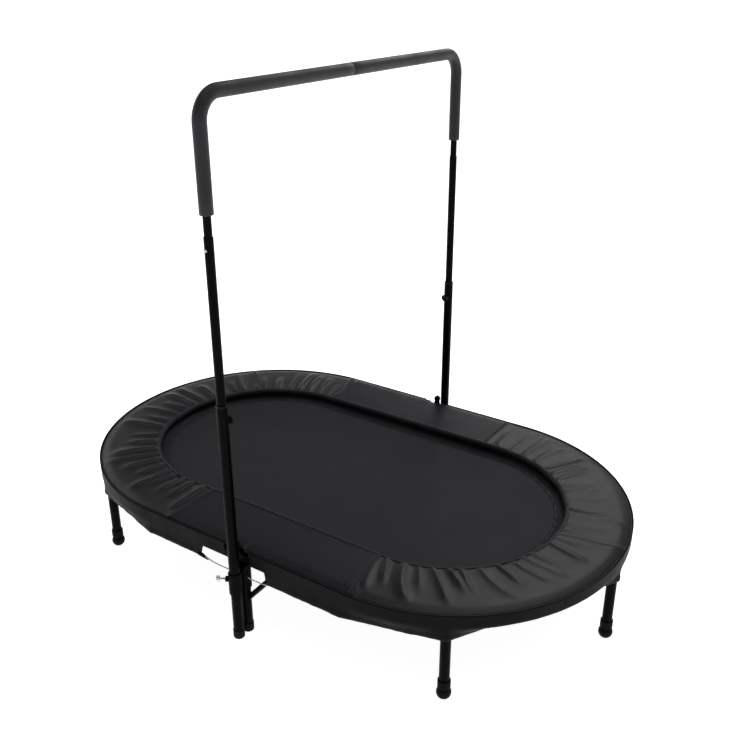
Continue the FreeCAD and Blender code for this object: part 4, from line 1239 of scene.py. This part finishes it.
def build_stage():
    tone = bpy.context.scene.trampoline_colours
    bm = bmesh.new()
    bmesh.ops.create_grid(bm, x_segments=1, y_segments=1, size=120)
    bmesh.ops.translate(bm, vec=(0, 0, -0.0005), verts=bm.verts)
    mesh = bpy.data.meshes.new("floor")
    bm.to_mesh(mesh)
    bm.free()
    mesh.materials.append(studio_floor("Painted floor", tone.floor))
    floor = bpy.data.objects.new("floor", mesh)
    bpy.context.scene.collection.objects.link(floor)

    world = bpy.data.worlds.new("Studio")
    bpy.context.scene.world = world
    world.use_nodes = True
    world.node_tree.nodes.clear()
    # a dim room whose walls are white near the floor, so that the floor runs out of sight
    tree = world.node_tree
    toward = add(tree, "ShaderNodeTexCoord")
    parts = add(tree, "ShaderNodeSeparateXYZ", {"Vector": toward.outputs["Generated"]})
    wall = add(tree, "ShaderNodeMapRange", {"Value": parts.outputs["Z"], "From Min": 0.16,
                                            "From Max": 0.26, "To Min": 1.0, "To Max": 0.13})
    sky = add(tree, "ShaderNodeBackground", {"Color": (1, 1, 1, 1),
                                             "Strength": wall.outputs["Result"]})
    add(tree, "ShaderNodeOutputWorld", {"Surface": sky.outputs["Background"]})
    bpy.context.scene.view_settings.view_transform = "Standard"

    sun = bpy.data.lights.new("overhead", "SUN")
    sun.energy = 1.15
    sun.angle = math.radians(62)
    light_at("overhead", sun, (0.3, 0.5, 2.6))
    for name, place, size, power in (("left box", (-2.6, 0.2, 1.6), 0.8, 7),
                                     ("back box", (-0.6, 3.2, 2.9), 1.3, 38)):
        box = bpy.data.lights.new(name, "AREA")
        box.size = size
        box.energy = power
        light_at(name, box, place)

    lens = bpy.data.cameras.new("camera")
    lens.lens = 43.52
    lens.sensor_width = 36
    lens.clip_end = 100
    camera = bpy.data.objects.new("camera", lens)
    camera.location = (1.236, -1.734, 1.470)
    camera.rotation_euler = (math.radians(90 - 24.51), 0, math.radians(33.73))
    bpy.context.scene.collection.objects.link(camera)
    bpy.context.scene.camera = camera
    return floor


def paint_cad():
    """Give every CAD node that stays in view the finish of its slot."""
    for row in frame["record"]["subparts"]:
        node = frame["nodes"][row["node"]]
        node.data.materials.clear()
        node.data.materials.append(finishes()[row["material_slot"]])


# ---------------------------------------------------------------- operators

class TRAMPOLINE_OT_steel(bpy.types.Operator):
    """Finish the frame, legs, posts, brackets and hinges that come from CAD"""
    bl_idname = "trampoline.steel"
    bl_label = "Steelwork"

    def execute(self, context):
        paint_cad()
        return {"FINISHED"}


class TRAMPOLINE_OT_mat(bpy.types.Operator):
    """Make the mat, its webbing border, stitches and ring tabs"""
    bl_idname = "trampoline.mat"
    bl_label = "Mat and border"

    def execute(self, context):
        sizes = context.scene.trampoline_sizes
        sheet = build_mat()
        border = build_border(sizes)
        tabs = [build_tabs(hand) for hand in ("right", "left")]
        return {"FINISHED"}


class TRAMPOLINE_OT_springs(bpy.types.Operator):
    """Wind the springs of both halves"""
    bl_idname = "trampoline.springs"
    bl_label = "Springs"

    def execute(self, context):
        for hand in ("right", "left"):
            build_springs(context.scene.trampoline_sizes, hand)
        return {"FINISHED"}


class TRAMPOLINE_OT_cover(bpy.types.Operator):
    """Make the padded cover with its binding, piping and seams"""
    bl_idname = "trampoline.cover"
    bl_label = "Padded cover"

    def execute(self, context):
        sizes = context.scene.trampoline_sizes
        build_cover(sizes)
        build_binding(sizes)
        build_piping(sizes)
        build_seams(sizes)
        return {"FINISHED"}


class TRAMPOLINE_OT_skirt(bpy.types.Operator):
    """Hang the skirt of both halves and thread its elastic"""
    bl_idname = "trampoline.skirt"
    bl_label = "Skirt"

    def execute(self, context):
        for hand in ("right", "left"):
            build_skirt(context.scene.trampoline_sizes, hand)
            build_hem_cord(context.scene.trampoline_sizes, hand)
        build_casing(context.scene.trampoline_sizes)
        return {"FINISHED"}


class TRAMPOLINE_OT_grips(bpy.types.Operator):
    """Make the handlebar's foam grips"""
    bl_idname = "trampoline.grips"
    bl_label = "Foam grips"

    def execute(self, context):
        for side in ("near", "far"):
            build_grip(side)
        return {"FINISHED"}


class TRAMPOLINE_OT_feet(bpy.types.Operator):
    """Make the six rubber feet"""
    bl_idname = "trampoline.feet"
    bl_label = "Feet"

    def execute(self, context):
        for hand in ("right", "left"):
            for side in ("near", "end", "far"):
                build_foot(hand, side)
        return {"FINISHED"}


class TRAMPOLINE_OT_knobs(bpy.types.Operator):
    """Make the pull pins and clamp screws"""
    bl_idname = "trampoline.knobs"
    bl_label = "Knobs"

    def execute(self, context):
        for side in ("near", "far"):
            build_pull_knob(side)
            build_clamp_knob(side)
        return {"FINISHED"}


class TRAMPOLINE_OT_stage(bpy.types.Operator):
    """Set up the floor, the lights and the camera"""
    bl_idname = "trampoline.stage"
    bl_label = "Studio"

    def execute(self, context):
        build_stage()
        return {"FINISHED"}


class TRAMPOLINE_PT_panel(bpy.types.Panel):
    """The trampoline's sizes, colours and pieces"""
    bl_idname = "TRAMPOLINE_PT_panel"
    bl_label = "Mini trampoline"
    bl_space_type = "VIEW_3D"
    bl_region_type = "UI"
    bl_category = "Trampoline"

    def draw(self, context):
        for group in (context.scene.trampoline_sizes, context.scene.trampoline_colours):
            box = self.layout.box()
            for name in group.__annotations__:
                box.prop(group, name)
        for operator in OPERATORS:
            self.layout.operator(operator.bl_idname)


OPERATORS = (TRAMPOLINE_OT_stage, TRAMPOLINE_OT_steel, TRAMPOLINE_OT_mat, TRAMPOLINE_OT_springs,
             TRAMPOLINE_OT_cover, TRAMPOLINE_OT_skirt, TRAMPOLINE_OT_grips, TRAMPOLINE_OT_feet,
             TRAMPOLINE_OT_knobs)
CLASSES = (TrampolineSizes, TrampolineColours, *OPERATORS, TRAMPOLINE_PT_panel)


def register():
    for kind in CLASSES:
        bpy.utils.register_class(kind)
    bpy.types.Scene.trampoline_sizes = PointerProperty(type=TrampolineSizes)
    bpy.types.Scene.trampoline_colours = PointerProperty(type=TrampolineColours)


def unregister():
    del bpy.types.Scene.trampoline_colours
    del bpy.types.Scene.trampoline_sizes
    for kind in reversed(CLASSES):
        bpy.utils.unregister_class(kind)


def main():
    register()
    for operator in OPERATORS:
        group, name = operator.bl_idname.split(".")
        getattr(getattr(bpy.ops, group), name)()


if __name__ == "__main__":
    main()
